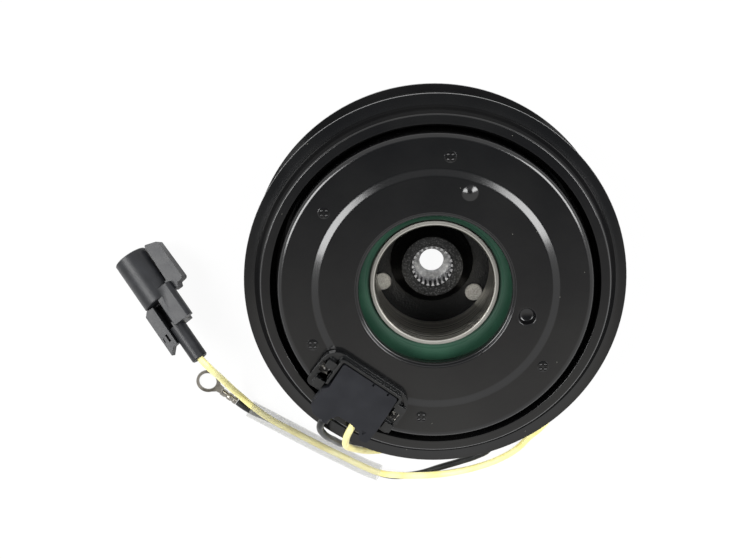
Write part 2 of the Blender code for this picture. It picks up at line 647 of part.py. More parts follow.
def make_mounting_plate(look):
    """Pressed plate on the back of the coil, with its drawn step, recess and dome."""
    step_inner = PLATE_STEP_RADIUS
    step_outer = PLATE_STEP_RADIUS + PLATE_STEP_WIDTH
    low_face = PLATE_HIGH - PLATE_STEP_DEPTH
    profile = [
        (PLATE_BORE_RADIUS, PLATE_LOW),
        (PLATE_RADIUS, PLATE_LOW),
        (PLATE_RADIUS, PLATE_HIGH - PLATE_EDGE_DROP),
        (PLATE_RADIUS - PLATE_EDGE_WIDTH / 4, PLATE_HIGH - PLATE_EDGE_DROP / 3),
        (PLATE_RADIUS - PLATE_EDGE_WIDTH, PLATE_HIGH),
        (step_outer, PLATE_HIGH),
        (step_inner, low_face),
        (PLATE_BORE_RADIUS + PLATE_BORE_EDGE, low_face),
        (PLATE_BORE_RADIUS, low_face - PLATE_BORE_EDGE),
    ]
    plate = add_object("mounting_plate", turned(profile, LARGE_STEPS), look)
    recess = sheet(
        circle(DIMPLE_RADIUS, SMALL_STEPS, RECESS_PLACE),
        low_face - DIMPLE_DEPTH, PLATE_HIGH + 1 * MM,
    )
    combine(plate, hidden("plate_recess", recess), "DIFFERENCE")
    dome = turned([
        (0.0, low_face - 1 * MM),
        (DIMPLE_RADIUS, low_face - 1 * MM),
        (DIMPLE_RADIUS, low_face),
        (DIMPLE_RADIUS * 0.75, low_face + DOME_HEIGHT * 0.7),
        (DIMPLE_RADIUS * 0.4, low_face + DOME_HEIGHT * 0.95),
        (0.0, low_face + DOME_HEIGHT),
    ], SMALL_STEPS)
    bmesh.ops.translate(dome, vec=(*DOME_PLACE, 0), verts=dome.verts)
    combine(plate, hidden("plate_dome", dome), "UNION")


def make_hub(look):
    """Forged hub: flange, shoulder and boss, with the splined bore and the bolt hole."""
    outer = [
        (0.0, HUB_LOW),
        (HUB_FLANGE_RADIUS, HUB_LOW),
        (HUB_FLANGE_RADIUS, HUB_FLANGE_HIGH),
        (HUB_SHOULDER_RADIUS, HUB_FLANGE_HIGH),
        (HUB_SHOULDER_RADIUS, HUB_FLANGE_HIGH + HUB_SHOULDER_RISE),
        (HUB_BOSS_RADIUS, HUB_FLANGE_HIGH + HUB_CONE_RISE),
        (HUB_BOSS_RADIUS, HUB_BOSS_HIGH - HUB_BOSS_CHAMFER),
        (HUB_BOSS_RADIUS - HUB_BOSS_CHAMFER, HUB_BOSS_HIGH),
        (0.0, HUB_BOSS_HIGH),
    ]
    hub = add_object("splined_hub", turned(outer, RING_STEPS), look)

    spline_low = HUB_BOSS_HIGH - SPLINE_LENGTH
    teeth = []
    for i in range(SPLINE_TEETH):
        for share, radius in (
            (0.0, SPLINE_MINOR_RADIUS), (0.3, SPLINE_MINOR_RADIUS),
            (0.5, SPLINE_MAJOR_RADIUS), (0.8, SPLINE_MAJOR_RADIUS),
        ):
            teeth.append(polar(radius, 360 * (i + share) / SPLINE_TEETH))
    spline = sheet(teeth, spline_low, HUB_BOSS_HIGH + 1 * MM)
    combine(hub, hidden("hub_spline", spline), "DIFFERENCE")

    bolt = turned([
        (0.0, HUB_LOW - 1 * MM),
        (BOLT_HOLE_RADIUS, HUB_LOW - 1 * MM),
        (BOLT_HOLE_RADIUS, spline_low - 1.2 * MM),
        (SPLINE_MINOR_RADIUS - 0.1 * MM, spline_low + 0.2 * MM),
        (0.0, spline_low + 0.2 * MM),
    ], 2 * SMALL_STEPS)
    combine(hub, hidden("hub_bolt_hole", bolt), "DIFFERENCE")

    holes = []
    for i in range(3):
        centre = polar(HUB_RIVET_CIRCLE, HUB_RIVET_ANGLE + 120 * i)
        outline = circle(RIVET_SHANK_RADIUS + SEAT_GAP, SMALL_STEPS, centre)
        holes.append(sheet(outline, HUB_LOW - 1 * MM, HUB_FLANGE_HIGH + 1 * MM))
    combine(hub, hidden("hub_rivet_holes", merged(*holes)), "DIFFERENCE")


def rivet_profile(head_low, shank_low, shank_high, head_high):
    """Rivet with a flat head at each end."""
    return [
        (0.0, head_low),
        (RIVET_HEAD_RADIUS - RIVET_HEAD_EDGE, head_low),
        (RIVET_HEAD_RADIUS, shank_low),
        (RIVET_SHANK_RADIUS, shank_low),
        (RIVET_SHANK_RADIUS, shank_high),
        (RIVET_HEAD_RADIUS, shank_high),
        (RIVET_HEAD_RADIUS - RIVET_HEAD_EDGE, head_high),
        (0.0, head_high),
    ]


def make_rivets(look):
    """Three rivets through the hub flange and three through the armature."""
    front_seat = RIVET_SINK - SEAT_GAP
    back_seat = HUB_FLANGE_HIGH + SEAT_GAP
    hub_profile = rivet_profile(
        front_seat - RIVET_HEAD_HEIGHT, front_seat, back_seat, back_seat + RIVET_HEAD_HEIGHT,
    )
    leaf_seat = LEAF_LOW - SEAT_GAP
    sunk_seat = ARMATURE_HIGH - ARMATURE_SINK + SEAT_GAP
    armature_profile = rivet_profile(
        leaf_seat - RIVET_HEAD_HEIGHT, leaf_seat, sunk_seat, sunk_seat + RIVET_HEAD_HEIGHT,
    )
    for i in range(3):
        angle = HUB_RIVET_ANGLE + 120 * i
        hub_rivet = add_object(f"hub_rivet_{i + 1}", turned(hub_profile, SMALL_STEPS), look)
        place(hub_rivet, (*polar(HUB_RIVET_CIRCLE, angle), 0))
        armature_rivet = add_object(
            f"armature_rivet_{i + 1}", turned(armature_profile, SMALL_STEPS), look,
        )
        place(armature_rivet, (*polar(ARMATURE_RIVET_CIRCLE, angle + LEAF_SWEEP), 0))


def make_stop_plate(look):
    """Front plate with three ears for the rubber buffers."""
    outline = []
    ear_half = math.degrees(math.asin(STOP_EAR_HALF_WIDTH / STOP_PLATE_RADIUS))
    for i in range(3):
        middle = HUB_RIVET_ANGLE + STOP_EAR_TURN + 120 * i
        along = polar(1.0, middle)
        across = Vector((-along.y, along.x))
        tip = along * (STOP_EAR_RADIUS - STOP_EAR_HALF_WIDTH)
        for k in range(7):
            swing = polar(STOP_EAR_HALF_WIDTH, middle - 90 + 180 * k / 6)
            outline.append(tip + swing)
        first = middle + ear_half
        last = middle + 120 - ear_half
        for k in range(1, 6):
            outline.append(polar(STOP_PLATE_RADIUS, first + (last - first) * k / 6))
    centre_hole = circle(STOP_PLATE_BORE, 2 * SMALL_STEPS)
    rivet_holes = []
    buffer_holes = []
    for i in range(3):
        rivet = polar(HUB_RIVET_CIRCLE, HUB_RIVET_ANGLE + 120 * i)
        rivet_holes.append(circle(RIVET_SHANK_RADIUS + SEAT_GAP, SMALL_STEPS, rivet))
        buffer = polar(STOP_BUFFER_CIRCLE, HUB_RIVET_ANGLE + STOP_EAR_TURN + 120 * i)
        buffer_holes.append(circle(BUFFER_NECK_RADIUS, SMALL_STEPS, buffer))
    bm = sheet(outline, 0.0, STOP_PLATE_THICK, (centre_hole, *rivet_holes, *buffer_holes))
    plate = add_object("stop_plate", bm, look)
    sinks = []
    for i in range(3):
        rivet = polar(HUB_RIVET_CIRCLE, HUB_RIVET_ANGLE + 120 * i)
        sinks.append(sheet(circle(SINK_RADIUS, SMALL_STEPS, rivet), -1 * MM, RIVET_SINK))
    combine(plate, hidden("stop_plate_sinks", merged(*sinks)), "DIFFERENCE")


def make_leaf_springs(look):
    """Three flat leaves from the hub rivets to the armature rivets."""
    for i in range(3):
        angle = HUB_RIVET_ANGLE + 120 * i
        inner = polar(HUB_RIVET_CIRCLE, angle)
        outer = polar(ARMATURE_RIVET_CIRCLE, angle + LEAF_SWEEP)
        along = outer - inner
        length = along.length
        outline = []
        for k in range(7):
            outline.append(polar(LEAF_HALF_WIDTH, 90 + 180 * k / 6))
        for k in range(7):
            outline.append(Vector((length, 0)) + polar(LEAF_HALF_WIDTH, -90 + 180 * k / 6))
        holes = [
            circle(RIVET_SHANK_RADIUS + SEAT_GAP, SMALL_STEPS),
            circle(RIVET_SHANK_RADIUS + SEAT_GAP, SMALL_STEPS, (length, 0)),
        ]
        leaf = add_object(f"leaf_spring_{i + 1}", sheet(outline, LEAF_LOW, LEAF_HIGH, holes), look)
        place(leaf, (inner.x, inner.y, 0), math.degrees(math.atan2(along.y, along.x)))


def make_buffers(look):
    """Rubber buffers on the ears of the stop plate, against the armature."""
    top = ARMATURE_LOW - SEAT_GAP
    profile = [
        (0.0, BUFFER_NECK_SINK),
        (BUFFER_NECK_RADIUS - SEAT_GAP, BUFFER_NECK_SINK),
        (BUFFER_NECK_RADIUS - SEAT_GAP, STOP_PLATE_THICK + SEAT_GAP),
        (STOP_BUFFER_RADIUS, STOP_PLATE_THICK + SEAT_GAP),
        (STOP_BUFFER_RADIUS, top),
        (0.0, top),
    ]
    for i in range(3):
        buffer = add_object(f"rubber_buffer_{i + 1}", turned(profile, SMALL_STEPS), look)
        place(buffer, (*polar(STOP_BUFFER_CIRCLE, HUB_RIVET_ANGLE + STOP_EAR_TURN + 120 * i), 0))


def make_armature(look):
    """Flat steel ring that the coil pulls against the friction disc."""
    holes = [circle(ARMATURE_INNER_RADIUS, RING_STEPS)]
    sinks = []
    for i in range(3):
        centre = polar(ARMATURE_RIVET_CIRCLE, HUB_RIVET_ANGLE + LEAF_SWEEP + 120 * i)
        holes.append(circle(RIVET_SHANK_RADIUS + SEAT_GAP, SMALL_STEPS, centre))
        sink = circle(SINK_RADIUS, SMALL_STEPS, centre)
        sinks.append(sheet(sink, ARMATURE_HIGH - ARMATURE_SINK, ARMATURE_HIGH + 1 * MM))
    for i in range(ARMATURE_SLOTS):
        middle = 360 * (i + 0.5) / ARMATURE_SLOTS
        holes.append(arc_slot(ARMATURE_SLOT_RADIUS, ARMATURE_SLOT_HALF_WIDTH, middle, 36.0))
    outline = circle(ARMATURE_OUTER_RADIUS, LARGE_STEPS)
    plate = add_object("armature_plate", sheet(outline, ARMATURE_LOW, ARMATURE_HIGH, holes), look)
    combine(plate, hidden("armature_sinks", merged(*sinks)), "DIFFERENCE")


def make_terminal_box(black, lid_look, metal, diode_look):
    """Moulded base on the mounting plate, its lid, two terminals and the diode."""
    turn = BOX_TURN
    base = add_object("terminal_base", sheet(rounded([
        (BASE_LEFT, BASE_INNER, BASE_CORNER),
        (BASE_LEFT, BASE_OUTER, BASE_OUTER_CORNER),
        (BASE_RIGHT, BASE_OUTER, BASE_OUTER_CORNER),
        (BASE_RIGHT, BASE_INNER, BASE_CORNER),
    ]), BASE_LOW, BASE_HIGH), black)
    wall_left = LID_LEFT - FENCE_GAP - BOX_WALL
    wall_right = LID_RIGHT + FENCE_GAP + BOX_WALL
    wall_inner = LID_INNER + FENCE_GAP + BOX_WALL
    wall_foot = BASE_HIGH - FENCE_ROOT
    wall_high = BASE_HIGH + WALL_HEIGHT
    fence = sheet(rounded([
        (wall_left, FENCE_LEFT_END, 0),
        (wall_left, wall_inner, FENCE_CORNER),
        (wall_right, wall_inner, FENCE_CORNER),
        (wall_right, FENCE_RIGHT_END, 0),
        (wall_right - BOX_WALL, FENCE_RIGHT_END, 0),
        (wall_right - BOX_WALL, wall_inner - BOX_WALL, FENCE_INNER_CORNER),
        (wall_left + BOX_WALL, wall_inner - BOX_WALL, FENCE_INNER_CORNER),
        (wall_left + BOX_WALL, FENCE_LEFT_END, 0),
    ]), wall_foot, wall_high)
    combine(base, hidden("base_fence", fence), "UNION")
    tabs = []
    for side, wall_face in ((-1, LID_LEFT - FENCE_GAP), (1, LID_RIGHT + FENCE_GAP)):
        for row in TAB_ROWS:
            near = wall_face + side * (BOX_WALL + 0.05 * MM)
            far = near + side * TAB_LENGTH
            low = (min(near, far), row - TAB_HALF_WIDTH, wall_foot)
            high = (max(near, far), row + TAB_HALF_WIDTH, BASE_HIGH + TAB_HEIGHT)
            tabs.append(block(low, high))
    combine(base, hidden("base_tabs", merged(*tabs)), "UNION")
    place(base, (0, 0, 0), turn)

    lid_outline = rounded([
        (LID_LEFT, LID_INNER, 0.8 * MM),
        (LID_LEFT - LID_HORN_STEP, LID_OUTER - LID_HORN, 1.4 * MM),
        (LID_LEFT + LID_HORN_WIDTH, LID_OUTER - LID_HORN - LID_HORN_SLANT, 1.2 * MM),
        (LID_LEFT + LID_HORN_FLANK, LID_OUTER, 1.0 * MM),
        (LID_RIGHT - LID_LIP_WIDTH, LID_OUTER - LID_HORN_STEP, 1.0 * MM),
        (LID_RIGHT + LID_LIP_STEP, LID_OUTER - LID_LIP, 1.4 * MM),
        (LID_RIGHT, LID_INNER, 0.8 * MM),
    ], 2)
    lid = add_object("terminal_lid", sheet(lid_outline, LID_LOW, LID_HIGH), lid_look)
    room = block(
        (LID_LEFT + LID_SKIN, LID_OUTER + LID_SKIN, LID_LOW - 1 * MM),
        (LID_RIGHT - LID_SKIN, LID_INNER - LID_SKIN, LID_HIGH - LID_SKIN),
    )
    combine(lid, hidden("lid_room", room), "DIFFERENCE")
    exits = []
    for x in (YELLOW_EXIT, BLACK_EXIT):
        drill = sheet(circle(LEAD_RADIUS + LEAD_HOLE_GAP, SMALL_STEPS), 0, 12 * MM)
        turn_down = Matrix.Rotation(math.pi / 2, 3, "X")
        bmesh.ops.rotate(drill, cent=(0, 0, 0), matrix=turn_down, verts=drill.verts)
        exit_place = (x, LID_OUTER + 3 * MM, LID_LOW + LEAD_RADIUS + SEAT_GAP)
        bmesh.ops.translate(drill, vec=exit_place, verts=drill.verts)
        exits.append(drill)
    combine(lid, hidden("lid_exits", merged(*exits)), "DIFFERENCE")
    place(lid, (0, 0, 0), turn)

    middle = (TAB_ROWS[0] + TAB_ROWS[1]) / 2
    reach = (TAB_ROWS[0] - TAB_ROWS[1]) / 2 - TAB_HALF_WIDTH - SEAT_GAP
    for name, side, wall_face in (
        ("left_terminal", -1, LID_LEFT - FENCE_GAP - BOX_WALL),
        ("right_terminal", 1, LID_RIGHT + FENCE_GAP),
    ):
        near = wall_face + side * SEAT_GAP
        foot = BASE_HIGH + SEAT_GAP
        bend = CLIP_REACH / 2
        fold = [
            (near, foot), (near + side * CLIP_REACH, foot),
            (near + side * CLIP_REACH, foot + CLIP_LOW),
            (near + side * (CLIP_REACH - CLIP_THICK), foot + CLIP_LOW),
            (near + side * (CLIP_REACH - CLIP_THICK), foot + CLIP_THICK),
            (near + side * bend, foot + CLIP_THICK), (near + side * bend, foot + CLIP_HIGH),
            (near + side * (bend - CLIP_THICK), foot + CLIP_HIGH),
            (near + side * (bend - CLIP_THICK), foot + CLIP_THICK), (near, foot + CLIP_THICK),
        ]
        clip = sheet(fold, -reach, reach)
        stand = Matrix.Rotation(math.pi / 2, 3, "X")
        bmesh.ops.rotate(clip, cent=(0, 0, 0), matrix=stand, verts=clip.verts)
        bmesh.ops.translate(clip, vec=(0, middle, 0), verts=clip.verts)
        place(add_object(name, clip, metal), (0, 0, 0), turn)

    diode = lying(sheet(circle(DIODE_RADIUS, SMALL_STEPS), 0, DIODE_LENGTH), (
        -DIODE_LENGTH / 2, DIODE_ROW, BASE_HIGH + SEAT_GAP + DIODE_RADIUS,
    ))
    place(add_object("suppression_diode", diode, diode_look), (0, 0, 0), turn)


def smooth_route(points, count):
    """Evenly spaced points on a smooth curve through the route's own points."""
    fine = []
    ends = [2 * points[0] - points[1], *points, 2 * points[-1] - points[-2]]
    for p0, p1, p2, p3 in zip(ends, ends[1:], ends[2:], ends[3:]):
        for k in range(12):
            t = k / 12
            fine.append(0.5 * (
                2 * p1 + (p2 - p0) * t + (2 * p0 - 5 * p1 + 4 * p2 - p3) * t ** 2
                + (3 * p1 - 3 * p2 + p3 - p0) * t ** 3
            ))
    fine.append(points[-1])
    reach = [0.0]
    for a, b in zip(fine, fine[1:]):
        reach.append(reach[-1] + (b - a).length)
    route = []
    index = 0
    for i in range(count):
        goal = reach[-1] * i / (count - 1)
        while index < len(fine) - 2 and reach[index + 1] < goal:
            index += 1
        share = (goal - reach[index]) / (reach[index + 1] - reach[index])
        route.append(fine[index].lerp(fine[index + 1], share))
    return route


def make_lead(name, points, count, look):
    """Round lead along a route, with closed ends."""
    curve = bpy.data.curves.new(name, "CURVE")
    curve.dimensions = "3D"
    curve.bevel_depth = LEAD_RADIUS
    curve.bevel_resolution = 2
    curve.use_fill_caps = True
    spline = curve.splines.new("POLY")
    route = smooth_route([Vector(point) * MM for point in points], count)
    spline.points.add(len(route) - 1)
    for point, place_on_route in zip(spline.points, route):
        point.co = (*place_on_route, 1.0)
    curve.materials.append(look)
    lead = bpy.data.objects.new(name, curve)
    bpy.context.collection.objects.link(lead)


YELLOW_ROUTE = [
    (-24.3, -41.6, 48.2), (-27.2, -45.7, 48.2), (-28.7, -48.4, 47.6), (-29.8, -51.2, 45.4),
    (-30.4, -54.8, 42.0), (-30.4, -58.6, 37.8), (-29.2, -61.5, 33.0), (-27.2, -64.8, 27.0),
    (-24.4, -68.8, 19.6),
    (-21.0, -72.2, 12.0), (-16.8, -73.8, 7.0), (-11.0, -71.8, 5.0), (-4.5, -67.8, 4.5),
    (1.5, -63.6, 3.4), (7.0, -60.6, 1.8), (14.0, -58.8, 1.3), (24.0, -56.8, 1.3),
    (33.0, -53.8, 1.3), (40.4, -53.2, 1.3), (45.0, -57.2, 1.3), (45.2, -63.0, 1.3),
    (42.2, -67.6, 1.3), (38.5, -70.9, 1.3), (33.7, -76.1, 1.3), (27.5, -80.2, 1.3),
    (19.6, -83.4, 1.5), (11.0, -85.2, 2.6), (2.2, -85.8, 4.1), (-6.0, -86.0, 4.2),
    (-13.0, -85.2, 3.5), (-18.6, -84.2, 3.2), (-24.1, -81.8, 3.2), (-31.7, -77.8, 3.2),
    (-41.2, -72.7, 3.2), (-50.6, -67.4, 3.2), (-60.0, -62.0, 3.2), (-67.4, -57.7, 3.3),
    (-70.9, -54.1, 3.9), (-73.5, -50.4, 6.2), (-75.6, -46.2, 10.0), (-77.3, -42.0, 14.4),
    (-78.6, -38.4, 18.2), (-80.0, -35.8, 21.0), (-81.7, -33.7, 21.8), (-83.2, -31.9, 21.3),
    (-84.7, -30.0, 20.5),
]
BLACK_ROUTE = [
    (-33.2, -37.8, 48.2), (-35.2, -40.7, 48.2), (-37.2, -43.5, 48.2), (-38.6, -46.1, 47.2),
    (-39.0, -48.9, 45.0), (-38.2, -52.2, 41.6), (-36.8, -55.7, 37.0), (-35.1, -59.9, 30.0),
    (-33.2, -63.8, 24.0), (-30.8, -67.6, 16.5), (-27.0, -70.2, 10.0), (-21.5, -70.9, 5.0),
    (-15.0, -69.6, 2.2), (-8.0, -68.4, 1.3), (0.0, -67.4, 1.3), (8.0, -66.0, 1.3),
    (15.0, -64.9, 1.3), (21.2, -66.4, 1.3), (24.8, -71.2, 1.3), (22.8, -76.4, 1.3),
    (18.2, -79.2, 1.3), (12.3, -81.4, 1.3), (4.3, -83.6, 1.3), (-3.4, -86.8, 1.3),
    (-9.4, -88.0, 1.5), (-14.6, -88.0, 2.4), (-19.9, -86.7, 3.2), (-25.3, -84.4, 3.2),
    (-33.0, -80.3, 3.2), (-42.5, -75.2, 3.2), (-51.9, -69.9, 3.2), (-61.2, -64.5, 3.2),
    (-68.7, -60.2, 3.1), (-71.1, -58.4, 2.1), (-73.0, -56.95, 1.5),
]


def make_leads(yellow, black):
    """Feed lead from the box to the plug, and earth lead to the ring terminal."""
    make_lead("yellow_lead", YELLOW_ROUTE, 46, yellow)
    make_lead("black_lead", BLACK_ROUTE, 40, black)


SLEEVE_ROUTE = [
    (-19.2, -85.5, 3.25), (-24.7, -83.1, 3.25), (-32.3, -79.1, 3.25), (-41.8, -74.0, 3.25),
    (-51.2, -68.7, 3.25), (-60.6, -63.3, 3.25), (-68.1, -59.0, 3.25),
]


def make_sleeve(look):
    """Clear tube round both leads, open at both ends."""
    route = smooth_route([Vector(point) * MM for point in SLEEVE_ROUTE], 13)
    bm = bmesh.new()
    walls = []
    for radius in (SLEEVE_RADIUS, SLEEVE_RADIUS - SLEEVE_WALL):
        rings = []
        for i, centre in enumerate(route):
            ahead = route[min(i + 1, len(route) - 1)] - route[max(i - 1, 0)]
            side = ahead.cross(Vector((0, 0, 1))).normalized()
            up = side.cross(ahead).normalized()
            rings.append([
                bm.verts.new(centre + side * point.x + up * point.y)
                for point in circle(radius, SMALL_STEPS)
            ])
        walls.append(rings)
    for rings in walls:
        for low, high in zip(rings, rings[1:]):
            for k in range(SMALL_STEPS):
                after = (k + 1) % SMALL_STEPS
                bm.faces.new((low[k], low[after], high[after], high[k]))
    for end in (0, -1):
        outer, inner = walls[0][end], walls[1][end]
        for k in range(SMALL_STEPS):
            after = (k + 1) % SMALL_STEPS
            bm.faces.new((outer[k], outer[after], inner[after], inner[k]))
    add_object("clear_sleeve", bm, look)


def make_ring_terminal(look):
    """Tinned ring and its crimp barrel, one stamped piece."""
    neck_end = RING_RADIUS + NECK_LENGTH
    neck_angle = math.degrees(math.asin(NECK_HALF_WIDTH / RING_RADIUS)) + 22
    outline = [Vector((neck_end, -NECK_HALF_WIDTH)), Vector((neck_end, NECK_HALF_WIDTH))]
    for k in range(19):
        outline.append(polar(RING_RADIUS, neck_angle + (360 - 2 * neck_angle) * k / 18))
    ring = sheet(outline, RING_REST, RING_REST + RING_THICK, [circle(RING_HOLE_RADIUS, 18)])
    terminal = add_object("ring_terminal", ring, look)
    barrel = sheet(circle(CRIMP_RADIUS, SMALL_STEPS), 0, CRIMP_LENGTH)
    lying(barrel, (neck_end - 0.1 * MM, 0, CRIMP_RADIUS + 0.05 * MM))
    combine(terminal, hidden("crimp_barrel", barrel), "UNION")
    place(terminal, (*RING_PLACE, 0), RING_TURN)


def make_plug(grey, dark, metal):
    """Two-piece plug: round mouth, latch shield, body, tail, lock slide and pin."""
    lift = BARREL_RADIUS * math.cos(math.radians(PLUG_TILT)) + 0.05 * MM
    frame = bpy.data.objects.new("plug_frame", None)
    bpy.context.collection.objects.link(frame)
    frame.location = (*PLUG_MOUTH, lift)
    frame.rotation_euler = (0, math.radians(-PLUG_TILT), math.radians(PLUG_TURN))

    body_end = BARREL_LENGTH + BODY_LENGTH
    barrel = lying(sheet(circle(BARREL_RADIUS, BARREL_STEPS), 0, BARREL_LENGTH), (0, 0, 0))
    housing = add_object("plug_housing", barrel, grey)
    mouth_outline = circle(BARREL_RADIUS - BARREL_WALL, BARREL_STEPS)
    mouth = lying(sheet(mouth_outline, -1 * MM, MOUTH_DEPTH), (0, 0, 0))
    shield = block(
        (WING_START, BARREL_RADIUS + WING_SLOT, -WING_HALF_THICK),
        (WING_START + WING_LENGTH, WING_REACH, WING_HALF_THICK),
    )
    combine(housing, hidden("plug_mouth", mouth), "DIFFERENCE")
    combine(housing, hidden("plug_shield", shield), "UNION")
    bridge = block(
        (WING_START + WING_LENGTH - 3 * MM, BARREL_RADIUS - 1.5 * MM, -WING_HALF_THICK * 0.8),
        (BARREL_LENGTH - 0.4 * MM, WING_REACH - 3 * MM, WING_HALF_THICK * 0.8),
    )
    combine(housing, hidden("plug_bridge", bridge), "UNION")
    body = block((BARREL_LENGTH - 3.3 * MM, 0.5 * MM, -BODY_HALF_HEIGHT),
                 (body_end, 5.6 * MM, BODY_HALF_HEIGHT + 0.6 * MM))
    combine(housing, hidden("plug_body", body), "UNION")
    floor = block((BARREL_LENGTH - 1 * MM, -6.0 * MM, -BODY_HALF_HEIGHT),
                  (body_end - 0.4 * MM, 1.5 * MM, -1.0 * MM))
    combine(housing, hidden("plug_floor", floor), "UNION")
    tail = lying(sheet(circle(TAIL_RADIUS, SMALL_STEPS), 0, TAIL_LENGTH + 2 * MM), (body_end - 2 * MM, 0, 0))
    combine(housing, hidden("plug_tail", tail), "UNION")
    lead_hole = lying(sheet(circle(LEAD_RADIUS + LEAD_HOLE_GAP, SMALL_STEPS), 0, 8 * MM),
                      (body_end + TAIL_LENGTH - 4 * MM, 0, 0))
    combine(housing, hidden("plug_lead_hole", lead_hole), "DIFFERENCE")
    housing.parent = frame

    lock_near = -2.9 * MM
    lock_low = -1.0 * MM + SEAT_GAP
    lock_high = lock_low + LOCK_HALF_HEIGHT
    start = BARREL_LENGTH + SEAT_GAP
    notch = 2.4 * MM
    lock = add_object("plug_lock", sheet([
        (start, lock_near), (start, lock_near - LOCK_WIDTH),
        (start + LOCK_LENGTH, lock_near - LOCK_WIDTH),
        (start + LOCK_LENGTH - notch, lock_near - LOCK_WIDTH / 2),
        (start + LOCK_LENGTH - notch, lock_near),
    ], lock_low, lock_high), dark)
    lock.parent = frame

    pin_start = MOUTH_DEPTH - PIN_LENGTH - SEAT_GAP
    pin = add_object("plug_pin", block(
        (pin_start, -PIN_HALF_WIDTH, -PIN_HALF_WIDTH),
        (pin_start + PIN_LENGTH, PIN_HALF_WIDTH, PIN_HALF_WIDTH),
    ), metal)
    pin.parent = frame


def build():
    """Make every piece of the clutch."""
    for old in list(bpy.data.objects):
        bpy.data.objects.remove(old, do_unlink=True)
    material("tool", (0.8, 0.2, 0.2), 0.5)
    coat = material("black coat", (0.012, 0.012, 0.013), 0.28)
    steel = material("ground steel", (0.62, 0.60, 0.57), 0.3, 1.0)
    forged = material("phosphated steel", (0.045, 0.045, 0.045), 0.6, 0.4)
    bare = material("bare steel", (0.42, 0.42, 0.41), 0.45, 1.0)
    green = material("green seal", (0.03, 0.11, 0.065), 0.45)
    black_rubber = material("black rubber", (0.02, 0.02, 0.02), 0.7)
    cage_look = material("cage plastic", (0.55, 0.45, 0.25), 0.5)
    copper = material("enamelled copper", (0.45, 0.16, 0.06), 0.35, 0.8)
    bobbin = material("bobbin plastic", (0.5, 0.48, 0.42), 0.5)
    resin_look = material("potting resin", (0.04, 0.035, 0.03), 0.5)
    box_black = material("black moulding", (0.02, 0.02, 0.022), 0.35)
    lid_grey = material("lid plastic", (0.045, 0.045, 0.05), 0.4)
    plug_grey = material("plug plastic", (0.05, 0.05, 0.054), 0.4)
    lock_grey = material("lock plastic", (0.06, 0.06, 0.063), 0.42)
    tin = material("tinned brass", (0.6, 0.59, 0.55), 0.3, 1.0)
    yellow = material("yellow insulation", (0.85, 0.74, 0.25), 0.45)
    black_wire = material("black insulation", (0.02, 0.02, 0.02), 0.45)
    clear = material("clear tube", (0.8, 0.82, 0.82), 0.25)

    make_pulley(coat)
    make_bearing(steel, green, cage_look, black_rubber)
    make_snap_ring(bare)
    make_coil(coat, copper, bobbin, resin_look)
    make_mounting_plate(coat)
    make_hub(forged)
    make_rivets(bare)
    make_stop_plate(coat)
    make_leaf_springs(bare)
    make_buffers(black_rubber)
    make_armature(bare)
    make_terminal_box(box_black, lid_grey, tin, black_rubber)
    make_leads(yellow, black_wire)
    make_sleeve(clear)
    make_ring_terminal(tin)
    make_plug(plug_grey, lock_grey, tin)


build()
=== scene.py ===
import math

import bmesh
import bpy
from mathutils import Matrix, Vector, noise


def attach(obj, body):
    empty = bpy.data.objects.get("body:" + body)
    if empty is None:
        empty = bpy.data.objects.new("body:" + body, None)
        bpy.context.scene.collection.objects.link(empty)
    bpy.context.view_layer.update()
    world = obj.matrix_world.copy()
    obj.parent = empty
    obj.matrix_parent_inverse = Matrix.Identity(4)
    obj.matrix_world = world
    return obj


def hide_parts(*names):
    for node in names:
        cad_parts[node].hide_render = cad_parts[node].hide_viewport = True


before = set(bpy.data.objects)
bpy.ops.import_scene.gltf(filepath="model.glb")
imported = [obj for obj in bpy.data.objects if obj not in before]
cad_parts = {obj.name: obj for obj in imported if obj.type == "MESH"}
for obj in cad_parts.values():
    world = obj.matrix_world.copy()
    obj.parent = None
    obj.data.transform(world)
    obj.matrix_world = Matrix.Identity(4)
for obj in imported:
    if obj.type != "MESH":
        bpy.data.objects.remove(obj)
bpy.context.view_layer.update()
mm = 0.001

# Camera. The photograph looks down on the back of the clutch from 0.4 m,
# tilted 16 degrees towards the terminal box.
camera = bpy.data.objects.new("camera", bpy.data.cameras.new("camera"))
bpy.context.collection.objects.link(camera)
camera.location = (-15.50 * mm, 116.43 * mm, 424.92 * mm)
camera.rotation_euler = [math.radians(turn) for turn in (-16.441, 0.745, -0.220)]
camera.data.sensor_fit = "HORIZONTAL"
camera.data.sensor_width = 36.0
camera.data.lens = 57.99
camera.data.clip_start = 0.01
bpy.context.scene.camera = camera


# Leads. Two stranded copper leads in extruded PVC, 2.5 mm thick: the yellow one feeds
# the coil from the plug, and the black one earths it through the ring terminal.
def linear(hex_colour):
    """Linear colour from an sRGB hex value."""
    parts = [int(hex_colour[i:i + 2], 16) / 255 for i in (1, 3, 5)]
    return (*[p / 12.92 if p <= 0.04045 else ((p + 0.055) / 1.055) ** 2.4 for p in parts], 1.0)


def add(look, kind, inputs, stops=(), **settings):
    """Add a node, or take one that is there, and give it its settings, inputs and links."""
    tree = look.node_tree
    node = tree.nodes.new(kind) if isinstance(kind, str) else kind
    for name, value in settings.items():
        setattr(node, name, value)
    for key, value in inputs.items():
        if isinstance(value, bpy.types.NodeSocket):
            tree.links.new(value, node.inputs[key])
        else:
            node.inputs[key].default_value = value
    for i, (place, colour) in enumerate(stops):
        stop = node.color_ramp.elements[i] if i < 2 else node.color_ramp.elements.new(place)
        stop.position = place
        stop.color = colour
    return node


def surface(name):
    """New material and its Principled shader."""
    look = bpy.data.materials.new(name)
    look.use_nodes = True
    return look, look.node_tree.nodes["Principled BSDF"]


